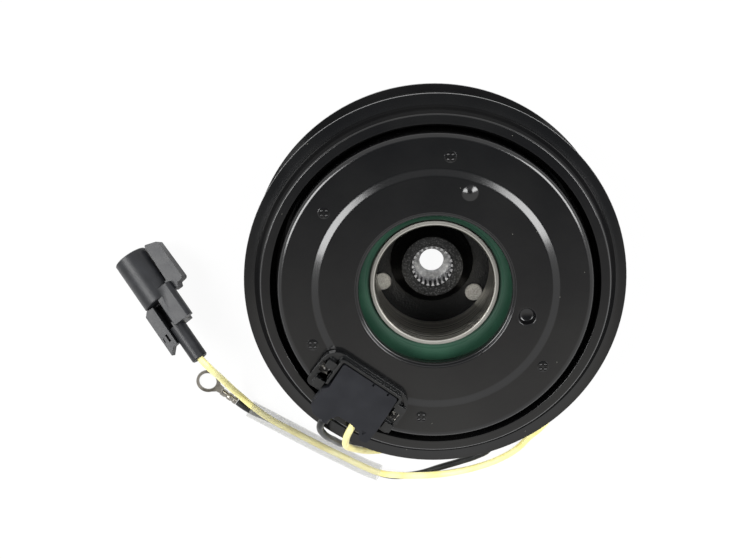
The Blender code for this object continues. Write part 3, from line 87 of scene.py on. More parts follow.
# Extruded PVC: soft gloss, a slightly uneven skin from the die and a little handling dirt.
yellow_pvc, shader = surface("yellow extruded PVC")
place = add(yellow_pvc, "ShaderNodeTexCoord", {})
blotch = add(yellow_pvc, "ShaderNodeTexNoise", {"Vector": place.outputs["Object"], "Scale": 160.0, "Detail": 4.0})
tone = add(yellow_pvc, "ShaderNodeValToRGB", {"Fac": blotch.outputs["Fac"]}, [
    (0.32, linear("#E8DA84")), (0.50, linear("#F3EA9E")), (0.70, linear("#F8F1B0")),
])
skin = add(yellow_pvc, "ShaderNodeTexNoise", {"Vector": place.outputs["Object"], "Scale": 1400.0, "Detail": 2.0})
gloss = add(yellow_pvc, "ShaderNodeMapRange", {"Value": blotch.outputs["Fac"], "To Min": 0.30, "To Max": 0.46})
relief = add(yellow_pvc, "ShaderNodeBump", {"Height": skin.outputs["Fac"], "Strength": 0.08, "Distance": 0.00006})
add(yellow_pvc, shader, {
    "Base Color": tone.outputs["Color"], "Roughness": gloss.outputs["Result"],
    "Normal": relief.outputs["Normal"], "IOR": 1.53,
})

black_pvc, shader = surface("black extruded PVC")
place = add(black_pvc, "ShaderNodeTexCoord", {})
blotch = add(black_pvc, "ShaderNodeTexNoise", {"Vector": place.outputs["Object"], "Scale": 220.0, "Detail": 4.0})
tone = add(black_pvc, "ShaderNodeValToRGB", {"Fac": blotch.outputs["Fac"]}, [
    (0.35, linear("#121313")), (0.72, linear("#232423")),
])
skin = add(black_pvc, "ShaderNodeTexNoise", {"Vector": place.outputs["Object"], "Scale": 1400.0, "Detail": 2.0})
gloss = add(black_pvc, "ShaderNodeMapRange", {"Value": blotch.outputs["Fac"], "To Min": 0.30, "To Max": 0.48})
relief = add(black_pvc, "ShaderNodeBump", {"Height": skin.outputs["Fac"], "Strength": 0.3, "Distance": 0.00008})
add(black_pvc, shader, {
    "Base Color": tone.outputs["Color"], "Roughness": gloss.outputs["Result"],
    "Normal": relief.outputs["Normal"], "IOR": 1.53, "Specular IOR Level": 0.28,
})


def lead(name, route, look):
    """Round lead on one smooth curve through the route's points, given in millimetres."""
    curve = bpy.data.curves.new(name, "CURVE")
    curve.dimensions = "3D"
    curve.bevel_depth = 1.25 * mm
    curve.bevel_resolution = 5
    curve.resolution_u = 6
    curve.use_fill_caps = True
    spline = curve.splines.new("BEZIER")
    spline.bezier_points.add(len(route) - 1)
    for knot, point in zip(spline.bezier_points, route):
        knot.co = Vector(point) * mm
        knot.handle_left_type = knot.handle_right_type = "AUTO"
    curve.materials.append(look)
    obj = bpy.data.objects.new(name, curve)
    bpy.context.collection.objects.link(obj)
    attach(obj, "stator")
    return obj


yellow_lead = lead("yellow_feed_lead", [
    (-24.3, -41.6, 48.2), (-27.2, -45.7, 48.2), (-28.7, -48.4, 47.6), (-30.4, -54.8, 42.0),
    (-30.4, -58.6, 37.8), (-29.2, -61.5, 33.0), (-27.2, -64.8, 27.0), (-21.0, -72.2, 12.0),
    (-16.8, -73.8, 7.0), (-11.0, -71.8, 5.0), (-4.5, -67.8, 4.5), (1.5, -63.6, 3.4),
    (7.0, -60.6, 1.8), (14.0, -58.8, 1.3), (24.0, -56.8, 1.3), (33.0, -53.8, 1.3),
    (40.4, -53.2, 1.3), (45.0, -57.2, 1.3), (45.2, -63.0, 1.3), (42.2, -67.6, 1.3),
    (38.5, -70.9, 1.3), (33.7, -76.1, 1.3), (27.5, -80.2, 1.3), (19.6, -83.4, 1.5),
    (11.0, -85.2, 2.6), (2.2, -85.8, 4.1), (-6.0, -86.1, 4.3), (-13.0, -85.9, 4.3),
    (-18.9, -85.0, 4.35), (-24.5, -82.65, 4.4), (-32.1, -78.65, 4.4), (-41.6, -73.55, 4.4),
    (-51.0, -68.25, 4.4), (-60.4, -62.85, 4.2), (-67.4, -57.7, 3.4), (-70.9, -54.1, 3.9), (-73.5, -50.4, 6.2),
    (-77.3, -42.0, 14.4), (-80.0, -35.8, 21.0), (-83.2, -31.9, 21.3), (-84.7, -30.0, 20.5),
], yellow_pvc)
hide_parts("yellow_lead")

black_lead = lead("black_earth_lead", [
    (-33.2, -37.8, 48.2), (-35.2, -40.7, 48.2), (-37.2, -43.5, 48.2), (-38.6, -46.1, 47.2),
    (-39.0, -48.9, 45.0), (-38.2, -52.2, 41.6), (-36.8, -55.7, 37.0), (-35.1, -59.9, 30.0),
    (-33.2, -63.8, 24.0), (-30.8, -67.6, 16.5), (-27.0, -70.2, 10.0), (-21.5, -70.9, 5.0),
    (-15.0, -69.6, 2.2), (-8.0, -68.4, 1.3), (0.0, -67.4, 1.3), (8.0, -66.0, 1.3),
    (15.0, -64.9, 1.3), (21.2, -66.4, 1.3), (24.8, -71.2, 1.3), (22.8, -76.4, 1.3),
    (18.2, -79.2, 1.3), (12.3, -81.4, 1.3), (4.3, -84.0, 1.3), (-3.4, -86.6, 1.3),
    (-9.4, -87.5, 1.4), (-14.6, -87.4, 1.7), (-19.45, -86.0, 2.1), (-24.95, -83.6, 2.1),
    (-32.55, -79.6, 2.1), (-42.05, -74.5, 2.1), (-51.45, -69.2, 2.1), (-60.85, -63.8, 2.1),
    (-68.6, -59.9, 2.15), (-71.0, -58.35, 1.9), (-73.0, -56.95, 1.5),
], black_pvc)
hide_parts("black_lead")


# Clear sleeve. A length of thin milky PVC tube, slipped over both leads before the
# terminals were put on, so that they stay side by side.
milky_pvc, shader = surface("milky clear PVC tube")
place = add(milky_pvc, "ShaderNodeTexCoord", {})
haze = add(milky_pvc, "ShaderNodeTexNoise", {"Vector": place.outputs["Object"], "Scale": 130.0, "Detail": 3.0})
cover = add(milky_pvc, "ShaderNodeMapRange", {"Value": haze.outputs["Fac"], "To Min": 0.15, "To Max": 0.22})
drawn = add(milky_pvc, "ShaderNodeTexNoise", {"Vector": place.outputs["Object"], "Scale": 900.0, "Detail": 2.0})
relief = add(milky_pvc, "ShaderNodeBump", {"Height": drawn.outputs["Fac"], "Strength": 0.3, "Distance": 0.0001})
add(milky_pvc, shader, {
    "Base Color": linear("#B2B2AE"), "Roughness": 0.22, "IOR": 1.45,
    "Alpha": cover.outputs["Result"], "Normal": relief.outputs["Normal"],
})
tube = bpy.data.curves.new("sleeve", "CURVE")
tube.dimensions = "3D"
tube.bevel_depth = 3.2 * mm
tube.bevel_resolution = 8
tube.resolution_u = 6
spline = tube.splines.new("BEZIER")
sleeve_route = [
    (-19.2, -85.5, 3.25), (-24.7, -83.1, 3.25), (-32.3, -79.1, 3.25), (-41.8, -74.0, 3.25),
    (-51.2, -68.7, 3.25), (-60.6, -63.3, 3.25), (-68.1, -59.0, 3.25),
]
spline.bezier_points.add(len(sleeve_route) - 1)
for knot, point in zip(spline.bezier_points, sleeve_route):
    knot.co = Vector(point) * mm
    knot.handle_left_type = knot.handle_right_type = "AUTO"
guide = bpy.data.objects.new("sleeve_guide", tube)
bpy.context.collection.objects.link(guide)
bpy.context.view_layer.update()
sleeve_mesh = bpy.data.meshes.new_from_object(guide.evaluated_get(bpy.context.evaluated_depsgraph_get()))
bpy.data.objects.remove(guide)
sleeve_mesh.shade_smooth()
sleeve_mesh.materials.clear()
sleeve_mesh.materials.append(milky_pvc)
sleeve = bpy.data.objects.new("milky_sleeve", sleeve_mesh)
bpy.context.collection.objects.link(sleeve)
wall = sleeve.modifiers.new("wall", "SOLIDIFY")
wall.thickness = 0.3 * mm
wall.offset = -1.0
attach(sleeve, "stator")
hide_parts("clear_sleeve")


# Ring terminal. Stamped from tinned brass strip: the eye lies on the floor, and the
# barrel is rolled and crimped round the bare end of the black lead.
def rounded(corners, steps=5):
    """Closed outline through corners (x, y, radius), each rounded by its radius."""
    outline = []
    for i, (x, y, radius) in enumerate(corners):
        corner = Vector((x, y))
        if radius == 0:
            outline.append(corner)
            continue
        before = (Vector(corners[i - 1][:2]) - corner).normalized()
        after = (Vector(corners[(i + 1) % len(corners)][:2]) - corner).normalized()
        half = before.angle(after) / 2
        centre = corner + (before + after).normalized() * radius / math.sin(half)
        first = corner + before * radius / math.tan(half) - centre
        last = corner + after * radius / math.tan(half) - centre
        start = math.atan2(first.y, first.x)
        sweep = math.atan2(first.x * last.y - first.y * last.x, first.dot(last))
        for k in range(steps + 1):
            angle = start + sweep * k / steps
            outline.append(centre + radius * Vector((math.cos(angle), math.sin(angle))))
    return outline


def polar(radius, degrees):
    """Point at a radius and an angle."""
    angle = math.radians(degrees)
    return Vector((radius * math.cos(angle), radius * math.sin(angle)))


def ring_of(radius, steps, centre=(0.0, 0.0)):
    """Closed round outline."""
    return [Vector(centre) + polar(radius, 360 * i / steps) for i in range(steps)]


def flat(outline, low, high, holes=()):
    """Flat body between two heights in millimetres, with holes through it."""
    bm = bmesh.new()
    edges = []
    for loop in (outline, *holes):
        verts = [bm.verts.new((x * mm, y * mm, low * mm)) for x, y in loop]
        edges += [bm.edges.new(pair) for pair in zip(verts, verts[1:] + verts[:1])]
    bmesh.ops.triangle_fill(bm, edges=edges, use_beauty=True)
    bmesh.ops.dissolve_limit(bm, angle_limit=0.01, verts=bm.verts, edges=bm.edges)
    raised = bmesh.ops.extrude_face_region(bm, geom=bm.faces[:])
    top = [item for item in raised["geom"] if isinstance(item, bmesh.types.BMVert)]
    bmesh.ops.translate(bm, verts=top, vec=(0, 0, (high - low) * mm))
    return bm


def turned(profile, steps, along_x=False):
    """Body turned about Z from (radius, height) points, or about X from (x, radius) points."""
    bm = bmesh.new()
    if along_x:
        verts = [bm.verts.new((x * mm, r * mm, 0)) for x, r in profile]
        closed = profile[0][1] > 0
        axis = (1, 0, 0)
    else:
        verts = [bm.verts.new((r * mm, 0, z * mm)) for r, z in profile]
        closed = profile[0][0] > 0
        axis = (0, 0, 1)
    edges = [bm.edges.new(pair) for pair in zip(verts, verts[1:])]
    if closed:
        edges.append(bm.edges.new((verts[-1], verts[0])))
    bmesh.ops.spin(
        bm, geom=verts + edges, cent=(0, 0, 0), axis=axis,
        angle=2 * math.pi, steps=steps, use_merge=True,
    )
    bmesh.ops.remove_doubles(bm, verts=bm.verts, dist=1e-6)
    return bm


def placed(bm, shift=(0, 0, 0), turn=0.0):
    """Turn a body about Z by degrees, then move it by millimetres."""
    bmesh.ops.rotate(bm, cent=(0, 0, 0), matrix=Matrix.Rotation(math.radians(turn), 3, "Z"), verts=bm.verts)
    bmesh.ops.translate(bm, vec=Vector(shift) * mm, verts=bm.verts)
    return bm


def joined(*bodies):
    """One bmesh with several separate bodies."""
    result = bmesh.new()
    for body in bodies:
        bmesh.ops.recalc_face_normals(body, faces=body.faces)
        part = bpy.data.meshes.new("part")
        body.to_mesh(part)
        body.free()
        result.from_mesh(part)
        bpy.data.meshes.remove(part)
    return result


def combined(body, tool, operation):
    """Body after a Boolean with a tool."""
    pair = []
    for bm in (body, tool):
        bmesh.ops.recalc_face_normals(bm, faces=bm.faces)
        mesh = bpy.data.meshes.new("part")
        bm.to_mesh(mesh)
        bm.free()
        obj = bpy.data.objects.new("part", mesh)
        bpy.context.collection.objects.link(obj)
        pair.append(obj)
    cut = pair[0].modifiers.new("cut", "BOOLEAN")
    cut.operation = operation
    cut.solver = "EXACT"
    cut.object = pair[1]
    bpy.context.view_layer.update()
    done = pair[0].evaluated_get(bpy.context.evaluated_depsgraph_get())
    result = bmesh.new()
    result.from_mesh(done.to_mesh())
    for obj in pair:
        mesh = obj.data
        bpy.data.objects.remove(obj)
        bpy.data.meshes.remove(mesh)
    return result


def finished(name, bm, looks, body, nodes, edge=0.0, rows=2):
    """Piece with faces outward, its sharp edges rounded by edge millimetres."""
    bmesh.ops.recalc_face_normals(bm, faces=bm.faces)
    mesh = bpy.data.meshes.new(name)
    bm.to_mesh(mesh)
    bm.free()
    mesh.shade_smooth()
    mesh.set_sharp_from_angle(angle=math.radians(32))
    for look in looks:
        mesh.materials.append(look)
    obj = bpy.data.objects.new(name, mesh)
    bpy.context.collection.objects.link(obj)
    if edge:
        bevel = obj.modifiers.new("edges", "BEVEL")
        bevel.width = edge * mm
        bevel.segments = rows
        bevel.limit_method = "ANGLE"
        bevel.angle_limit = math.radians(32)
        bevel.harden_normals = True
    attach(obj, body)
    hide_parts(*nodes)
    return obj


# Tinned brass: bright, a little yellow, with rubbed streaks where the tin is thin.
tinned_brass, shader = surface("tinned brass strip")
place = add(tinned_brass, "ShaderNodeTexCoord", {})
worn = add(tinned_brass, "ShaderNodeTexNoise", {"Vector": place.outputs["Object"], "Scale": 260.0, "Detail": 3.0})
tone = add(tinned_brass, "ShaderNodeValToRGB", {"Fac": worn.outputs["Fac"]}, [
    (0.30, linear("#6A665F")), (0.50, linear("#8C8881")), (0.75, linear("#A09C94")),
])
gloss = add(tinned_brass, "ShaderNodeMapRange", {"Value": worn.outputs["Fac"], "To Min": 0.24, "To Max": 0.36})
relief = add(tinned_brass, "ShaderNodeBump", {"Height": worn.outputs["Fac"], "Strength": 0.08, "Distance": 0.00006})
add(tinned_brass, shader, {
    "Base Color": tone.outputs["Color"], "Metallic": 1.0,
    "Roughness": gloss.outputs["Result"], "Normal": relief.outputs["Normal"],
})
eye = [Vector((6.6, -1.25)), Vector((6.6, 1.25)), Vector((4.9, 1.5))]
eye += [polar(4.35, 38 + 284 * k / 40) for k in range(41)]
eye += [Vector((4.9, -1.5))]
strip = flat(eye, 0.1, 0.9, [ring_of(3.3, 48)])
barrel = turned([
    (6.3, 0.0), (6.3, 1.15), (6.6, 1.40), (8.2, 1.42), (8.7, 1.12), (9.1, 1.12), (9.6, 1.42),
    (10.9, 1.42), (11.3, 1.15), (11.7, 1.15), (12.1, 1.42), (13.1, 1.42), (13.3, 1.30), (13.3, 0.0),
], 24, along_x=True)
bmesh.ops.translate(barrel, vec=(0, 0, 1.47 * mm), verts=barrel.verts)
terminal = combined(strip, barrel, "UNION")
ring_terminal = finished(
    "ring_eye_terminal", placed(terminal, (-84.0, -48.9, 0), -36.0), [tinned_brass],
    "stator", ["ring_terminal"], edge=0.12,
)


# Plug. Two-way housing moulded in dark grey PBT, with a round mouth, a shield over its
# latch, a grommet tail for the lead and a lock slide pushed in from the side.
moulded_pbt, shader = surface("dark grey moulded PBT")
place = add(moulded_pbt, "ShaderNodeTexCoord", {})
mottle = add(moulded_pbt, "ShaderNodeTexNoise", {"Vector": place.outputs["Object"], "Scale": 260.0, "Detail": 3.0})
tone = add(moulded_pbt, "ShaderNodeValToRGB", {"Fac": mottle.outputs["Fac"]}, [
    (0.30, linear("#18191B")), (0.70, linear("#212225")),
])
spark = add(moulded_pbt, "ShaderNodeTexNoise", {"Vector": place.outputs["Object"], "Scale": 4200.0, "Detail": 2.0})
gloss = add(moulded_pbt, "ShaderNodeMapRange", {"Value": mottle.outputs["Fac"], "To Min": 0.34, "To Max": 0.48})
relief = add(moulded_pbt, "ShaderNodeBump", {"Height": spark.outputs["Fac"], "Strength": 0.3, "Distance": 0.00004})
add(moulded_pbt, shader, {
    "Base Color": tone.outputs["Color"], "Roughness": gloss.outputs["Result"],
    "Normal": relief.outputs["Normal"], "IOR": 1.55, "Specular IOR Level": 0.26,
})


def block(low, high):
    """Box between two corners in millimetres."""
    bm = bmesh.new()
    bmesh.ops.create_cube(bm, size=1.0)
    bmesh.ops.scale(bm, vec=(Vector(high) - Vector(low)) * mm, verts=bm.verts)
    bmesh.ops.translate(bm, vec=(Vector(low) + Vector(high)) / 2 * mm, verts=bm.verts)
    return bm


plug_lift = 6.35 * math.cos(math.radians(20)) + 0.05
to_plug = (
    Matrix.Translation(Vector((-109.2, 1.15, plug_lift)) * mm)
    @ Matrix.Rotation(math.radians(-51.8), 4, "Z") @ Matrix.Rotation(math.radians(-20), 4, "Y")
)
shell = turned([
    (15.0, 0.0), (15.0, 4.9), (0.4, 5.25), (0.0, 5.45), (0.0, 6.05), (0.3, 6.35), (19.5, 6.35),
    (19.8, 6.1), (19.8, 0.0),
], 64, along_x=True)
shield = flat(rounded([
    (0.2, 7.5, 0.5), (19.8, 6.9, 0.4), (19.9, 9.4, 0.5), (18.5, 9.9, 0.4), (18.3, 12.2, 0.8),
    (17.6, 12.8, 0.8), (2.0, 12.4, 0.8),
]), -2.4, 2.4)
bridge = block((15.2, 4.9, -1.9), (19.4, 8.8, 1.9))
trunk = flat(rounded([
    (5.3, 1.0, 0.3), (5.3, 7.2, 0.9), (4.3, 8.2, 0.9), (2.2, 8.2, 0.5), (1.8, 5.0, 0.5), (-4.6, 5.0, 0.8),
    (-4.6, 1.0, 0.3),
], 6), 16.6, 30.8)
bmesh.ops.transform(trunk, matrix=Matrix(((0, 0, 1), (0, 1, 0), (1, 0, 0))).to_4x4(), verts=trunk.verts)
floor_web = block((18.8, -6.0, -4.6), (30.4, 1.5, -1.0))
tail = turned([
    (28.8, 0.0), (28.8, 3.0), (44.6, 3.0), (45.0, 2.7), (45.0, 1.8), (41.0, 1.7), (41.0, 0.0),
], 40, along_x=True)
housing = shell
for part in (shield, bridge, trunk, floor_web, tail):
    housing = combined(housing, part, "UNION")
window = block((20.6, -3.6, -3.2), (30.4, -0.4, 6.0))
housing = combined(housing, window, "DIFFERENCE")
bmesh.ops.transform(housing, matrix=to_plug, verts=housing.verts)
plug_housing = finished(
    "plug_shell", housing, [moulded_pbt], "stator", ["plug_housing"], edge=0.22,
)
slide = flat([
    (20.1, -3.0), (20.1, -5.8), (21.6, -7.3), (38.4, -7.3), (36.2, -5.0), (36.0, -2.9),
], -0.7, 2.5)
ridge = flat([(20.3, -3.7), (20.3, -2.9), (36.0, -2.9), (36.0, -3.7)], 2.0, 2.9)
slide = combined(slide, ridge, "UNION")
slide = combined(slide, block((31.0, -5.1, 0.8), (34.0, -4.3, 4.0)), "DIFFERENCE")
slide = combined(slide, block((31.6, -6.6, 2.1), (33.2, -6.1, 4.0)), "DIFFERENCE")
bmesh.ops.transform(slide, matrix=to_plug, verts=slide.verts)
plug_lock = finished(
    "plug_lock_slide", slide, [moulded_pbt], "stator", ["plug_lock"], edge=0.18,
)
blade = block((8.2, -0.75, -0.75), (14.7, 0.75, 0.75))
bmesh.ops.transform(blade, matrix=to_plug, verts=blade.verts)
plug_pin = finished("plug_contact_pin", blade, [tinned_brass], "stator", ["plug_pin"], edge=0.15)


# Pulley. One steel forging, turned on the belt grooves, the friction disc and the bearing
# bore, then dipped in black electrocoat.
# Black electrocoat: thin glossy film over turned steel, soft reflections, fine dust on it.
def electrocoat(name, depth, film):
    """Black electrocoat with its film colour and the depth of the turning marks below it."""
    look, shader = surface(name)
    place = add(look, "ShaderNodeTexCoord", {})
    split = add(look, "ShaderNodeSeparateXYZ", {"Vector": place.outputs["Object"]})
    plan = add(look, "ShaderNodeCombineXYZ", {"X": split.outputs["X"], "Y": split.outputs["Y"]})
    reach = add(look, "ShaderNodeVectorMath", {0: plan.outputs["Vector"]}, operation="LENGTH")
    across = add(look, "ShaderNodeMath", {0: reach.outputs["Value"], 1: split.outputs["Z"]}, operation="ADD")
    marks = add(look, "ShaderNodeTexNoise", {"W": across.outputs["Value"], "Scale": 1500.0, "Detail": 3.0},
                noise_dimensions="1D")
    peel = add(look, "ShaderNodeTexNoise", {"Vector": place.outputs["Object"], "Scale": 420.0, "Detail": 3.0})
    pool = add(look, "ShaderNodeTexNoise", {"Vector": place.outputs["Object"], "Scale": 38.0, "Detail": 4.0})
    specks = add(look, "ShaderNodeTexVoronoi", {"Vector": plan.outputs["Vector"], "Scale": 120.0},
                 voronoi_dimensions="2D")
    near = add(look, "ShaderNodeMath", {0: specks.outputs["Distance"], 1: 0.013}, operation="LESS_THAN")
    split_dust = add(look, "ShaderNodeSeparateColor", {"Color": specks.outputs["Color"]})
    some = add(look, "ShaderNodeMath", {0: split_dust.outputs["Red"], 1: 0.86}, operation="GREATER_THAN")
    facing = add(look, "ShaderNodeNewGeometry", {})
    up = add(look, "ShaderNodeSeparateXYZ", {"Vector": facing.outputs["Normal"]})
    level = add(look, "ShaderNodeMath", {0: up.outputs["Z"], 1: 0.9}, operation="GREATER_THAN")
    dust = add(look, "ShaderNodeMath", {0: near.outputs["Value"], 1: some.outputs["Value"]}, operation="MULTIPLY")
    dust = add(look, "ShaderNodeMath", {0: dust.outputs["Value"], 1: level.outputs["Value"]}, operation="MULTIPLY")
    tone = add(look, "ShaderNodeValToRGB", {"Fac": pool.outputs["Fac"]}, [
        (0.35, linear(film[0])), (0.70, linear(film[1])),
    ])
    colour = add(look, "ShaderNodeMix", {0: dust.outputs["Value"], 6: tone.outputs["Color"], 7: linear("#77776F")},
                 data_type="RGBA")
    gloss = add(look, "ShaderNodeMapRange", {"Value": pool.outputs["Fac"], "To Min": 0.12, "To Max": 0.22})
    height = add(look, "ShaderNodeMath", {0: marks.outputs["Fac"], 1: depth, 2: peel.outputs["Fac"]},
                 operation="MULTIPLY_ADD")
    relief = add(look, "ShaderNodeBump", {"Height": height.outputs["Value"], "Strength": 0.10, "Distance": 0.0001})
    add(look, shader, {
        "Base Color": colour.outputs[2], "Roughness": gloss.outputs["Result"],
        "Normal": relief.outputs["Normal"], "IOR": 1.5,
    })
    return look


turned_coat = electrocoat("black electrocoat on turned steel", 1.2, ("#0C0C0D", "#121212"))
pulley_profile = [
    (28.3, 8.75), (55.2, 8.75), (57.2, 10.95), (64.5, 10.95), (64.5, 12.40),
]
for i in range(6):
    low = 13.17 + i * 3.56
    pulley_profile += [
        (62.3, low + 0.3), (62.5, low + 0.5), (62.3, low + 0.7), (59.9, low + 1.45), (59.9, low + 2.25),
        (62.3, low + 3.15),
    ]
pulley_profile += [
    (62.5, 34.23), (64.5, 35.30), (64.5, 36.75), (60.9, 36.75), (60.3, 36.95), (59.9, 37.5), (58.6, 40.9),
    (58.2, 41.25), (55.3, 41.25), (55.3, 36.25), (53.8, 34.75), (53.8, 13.25), (34.6, 13.25),
    (34.6, 38.8), (31.3, 38.8), (31.3, 37.2), (32.6, 37.2), (32.6, 35.55), (31.3, 35.55),
    (31.3, 14.6), (28.3, 14.6),
]


def curved_slot(radius, half_width, middle, half_angle, steps=14):
    """Curved slot along a circle, angles in degrees."""
    outline = [polar(radius + half_width, middle + half_angle * (2 * i / steps - 1)) for i in range(steps + 1)]
    outline += [polar(radius - half_width, middle - half_angle * (2 * i / steps - 1)) for i in range(steps + 1)]
    return outline


slots = []
for i in range(6):
    slots.append(flat(curved_slot(47.0, 1.2, 60 * i, 24.0), 7.75, 13.75))
    slots.append(flat(curved_slot(40.2, 1.2, 60 * i + 30, 23.0), 7.75, 13.75))
pulley_body = combined(turned(pulley_profile, 160), joined(*slots), "DIFFERENCE")
# The belt grooves get a shaded copy of the coat, its reflection turned nearly off: painted shade.
shaded_groove_coat = electrocoat("black electrocoat in the belt grooves with painted shade", 1.2, ("#0E0E0F", "#151515"))
add(shaded_groove_coat, shaded_groove_coat.node_tree.nodes["Principled BSDF"], {"Specular IOR Level": 0.03})
for face in pulley_body.faces:
    spot = face.calc_center_median()
    face.material_index = int(math.hypot(spot.x, spot.y) > 59.0 * mm and abs(face.normal.z) < 0.98)
pulley = finished(
    "grooved_pulley", pulley_body, [turned_coat, shaded_groove_coat], "pulley", ["pulley_rotor"], edge=0.28,
)


# Coil. Wound on a plastic spool in a steel shell, which is closed at the front with
# poured resin. The shell is coated black, like the plate that it is welded to.
coil_shell = finished("coil_case", turned([
    (35.4, 14.25), (37.9, 14.25), (37.9, 37.95), (50.2, 37.95), (50.2, 14.25), (52.7, 14.25),
    (52.7, 40.95), (35.4, 40.95),
], 128), [turned_coat], "stator", ["coil_shell"], edge=0.3)

# Enamelled copper: warm metal under clear varnish, in turns 0.7 mm apart, painted dark between the turns as shade.
copper_wire, shader = surface("enamelled copper winding")
place = add(copper_wire, "ShaderNodeTexCoord", {})
turns = add(copper_wire, "ShaderNodeTexWave", {"Vector": place.outputs["Object"], "Scale": 70.0, "Distortion": 0.4},
            bands_direction="Z")
tone = add(copper_wire, "ShaderNodeValToRGB", {"Fac": turns.outputs["Fac"]}, [
    (0.1, linear("#5A2C14")), (0.8, linear("#B4693A")),
])
relief = add(copper_wire, "ShaderNodeBump", {"Height": turns.outputs["Fac"], "Strength": 0.8, "Distance": 0.0003})
add(copper_wire, shader, {
    "Base Color": tone.outputs["Color"], "Metallic": 0.9, "Roughness": 0.3, "Normal": relief.outputs["Normal"],
})
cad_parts["coil_winding"].material_slots[0].material = copper_wire

# Nylon for the spool and the ball cage: waxy, a little cloudy.
moulded_nylon, shader = surface("natural moulded nylon")
place = add(moulded_nylon, "ShaderNodeTexCoord", {})
cloud = add(moulded_nylon, "ShaderNodeTexNoise", {"Vector": place.outputs["Object"], "Scale": 300.0, "Detail": 3.0})
tone = add(moulded_nylon, "ShaderNodeValToRGB", {"Fac": cloud.outputs["Fac"]}, [
    (0.3, linear("#B8A77E")), (0.7, linear("#CDBF9B")),
])
relief = add(moulded_nylon, "ShaderNodeBump", {"Height": cloud.outputs["Fac"], "Strength": 0.2, "Distance": 0.0001})
add(moulded_nylon, shader, {
    "Base Color": tone.outputs["Color"], "Roughness": 0.45, "Normal": relief.outputs["Normal"],
})
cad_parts["coil_bobbin"].material_slots[0].material = moulded_nylon
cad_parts["bearing_cage"].material_slots[0].material = moulded_nylon

# Poured epoxy: dark, glossy, with a slightly wavy skin.
poured_epoxy, shader = surface("poured epoxy resin")
place = add(poured_epoxy, "ShaderNodeTexCoord", {})
wavy = add(poured_epoxy, "ShaderNodeTexNoise", {"Vector": place.outputs["Object"], "Scale": 120.0, "Detail": 2.0})
tone = add(poured_epoxy, "ShaderNodeValToRGB", {"Fac": wavy.outputs["Fac"]}, [
    (0.3, linear("#2A241E")), (0.7, linear("#3A332B")),
])
relief = add(poured_epoxy, "ShaderNodeBump", {"Height": wavy.outputs["Fac"], "Strength": 0.5, "Distance": 0.0003})
add(poured_epoxy, shader, {
    "Base Color": tone.outputs["Color"], "Roughness": 0.3, "Normal": relief.outputs["Normal"],
})
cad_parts["coil_resin"].material_slots[0].material = poured_epoxy


# Mounting plate. Pressed from 3 mm steel sheet: a drawn step, a round-over at the rim,
# a dome and a recess that locate it on the compressor, and five stakes that hold the coil.
pressed_coat = electrocoat("black electrocoat on pressed steel", 0.15, ("#0C0C0D", "#121212"))
plate_profile = [
    (25.6, 41.25), (52.9, 41.25), (52.9, 41.65), (52.82, 42.25), (52.6, 42.8), (52.2, 43.3),
    (51.7, 43.62), (51.2, 43.76), (50.7, 43.80),
]
for k in range(16):  # step, 0.8 mm up over 3.1 mm, straight in its middle and eased at its ends
    share = k / 15
    if share < 0.2:
        rise = 3.125 * share ** 2
    elif share > 0.8:
        rise = 1 - 3.125 * (1 - share) ** 2
    else:
        rise = 1.25 * share - 0.125
    plate_profile.append((41.6 - 3.1 * share, 43.80 + 0.80 * rise))
plate_profile += [
    (27.05, 44.60), (26.8, 44.57), (26.62, 44.45), (26.5, 44.25), (26.3, 44.17), (26.0, 44.13),
    (25.78, 44.00), (25.65, 43.80), (25.6, 43.55),
]
plate_body = turned(plate_profile, 200)
dome_profile = [(0.0, 43.0), (3.36, 43.0)]
dome_profile += [(3.36 - 0.28 * k, 44.55 + 0.42 * (1 - math.cos(math.pi * k / 12))) for k in range(12)]
dome_profile.append((0.0, 45.39))
plate_body = combined(plate_body, placed(turned(dome_profile, 48), (10.8, 33.5, 0)), "UNION")
recess = placed(turned([
    (0.0, 42.4), (1.9, 42.4), (2.2, 42.55), (2.75, 43.9), (2.87, 44.3), (3.0, 44.51), (3.2, 44.61), (3.2, 45.6),
    (0.0, 45.6),
], 48), (30.6, -8.7, 0))
plate_body = combined(plate_body, recess, "DIFFERENCE")
STAKES = (84.5, 144.1, 204.8, 264.5, 323.9)
buttons = []
petals = []
for stake in STAKES:
    centre = polar(45.3, stake)
    button = turned([(0.0, 43.5), (2.0, 43.5), (2.0, 43.83), (1.8, 43.89), (0.0, 43.89)], 32)
    buttons.append(placed(button, (*centre, 0)))
    for k in range(4):
        petal = bmesh.new()
        bmesh.ops.create_icosphere(petal, subdivisions=3, radius=0.66 * mm)
        spot = centre + polar(1.12, 90 * k + 45)
        bmesh.ops.translate(petal, vec=(spot.x * mm, spot.y * mm, 44.02 * mm), verts=petal.verts)
        petals.append(petal)
plate_body = combined(plate_body, joined(*buttons), "UNION")
plate_body = combined(plate_body, joined(*petals), "DIFFERENCE")
mounting_plate = finished(
    "pressed_mounting_plate", plate_body, [pressed_coat], "stator", ["mounting_plate"],
)
# The plate's wide flat faces stay evenly shaded next to the dome, the recess and the stakes.
even = mounting_plate.modifiers.new("even shading", "WEIGHTED_NORMAL")
even.keep_sharp = True


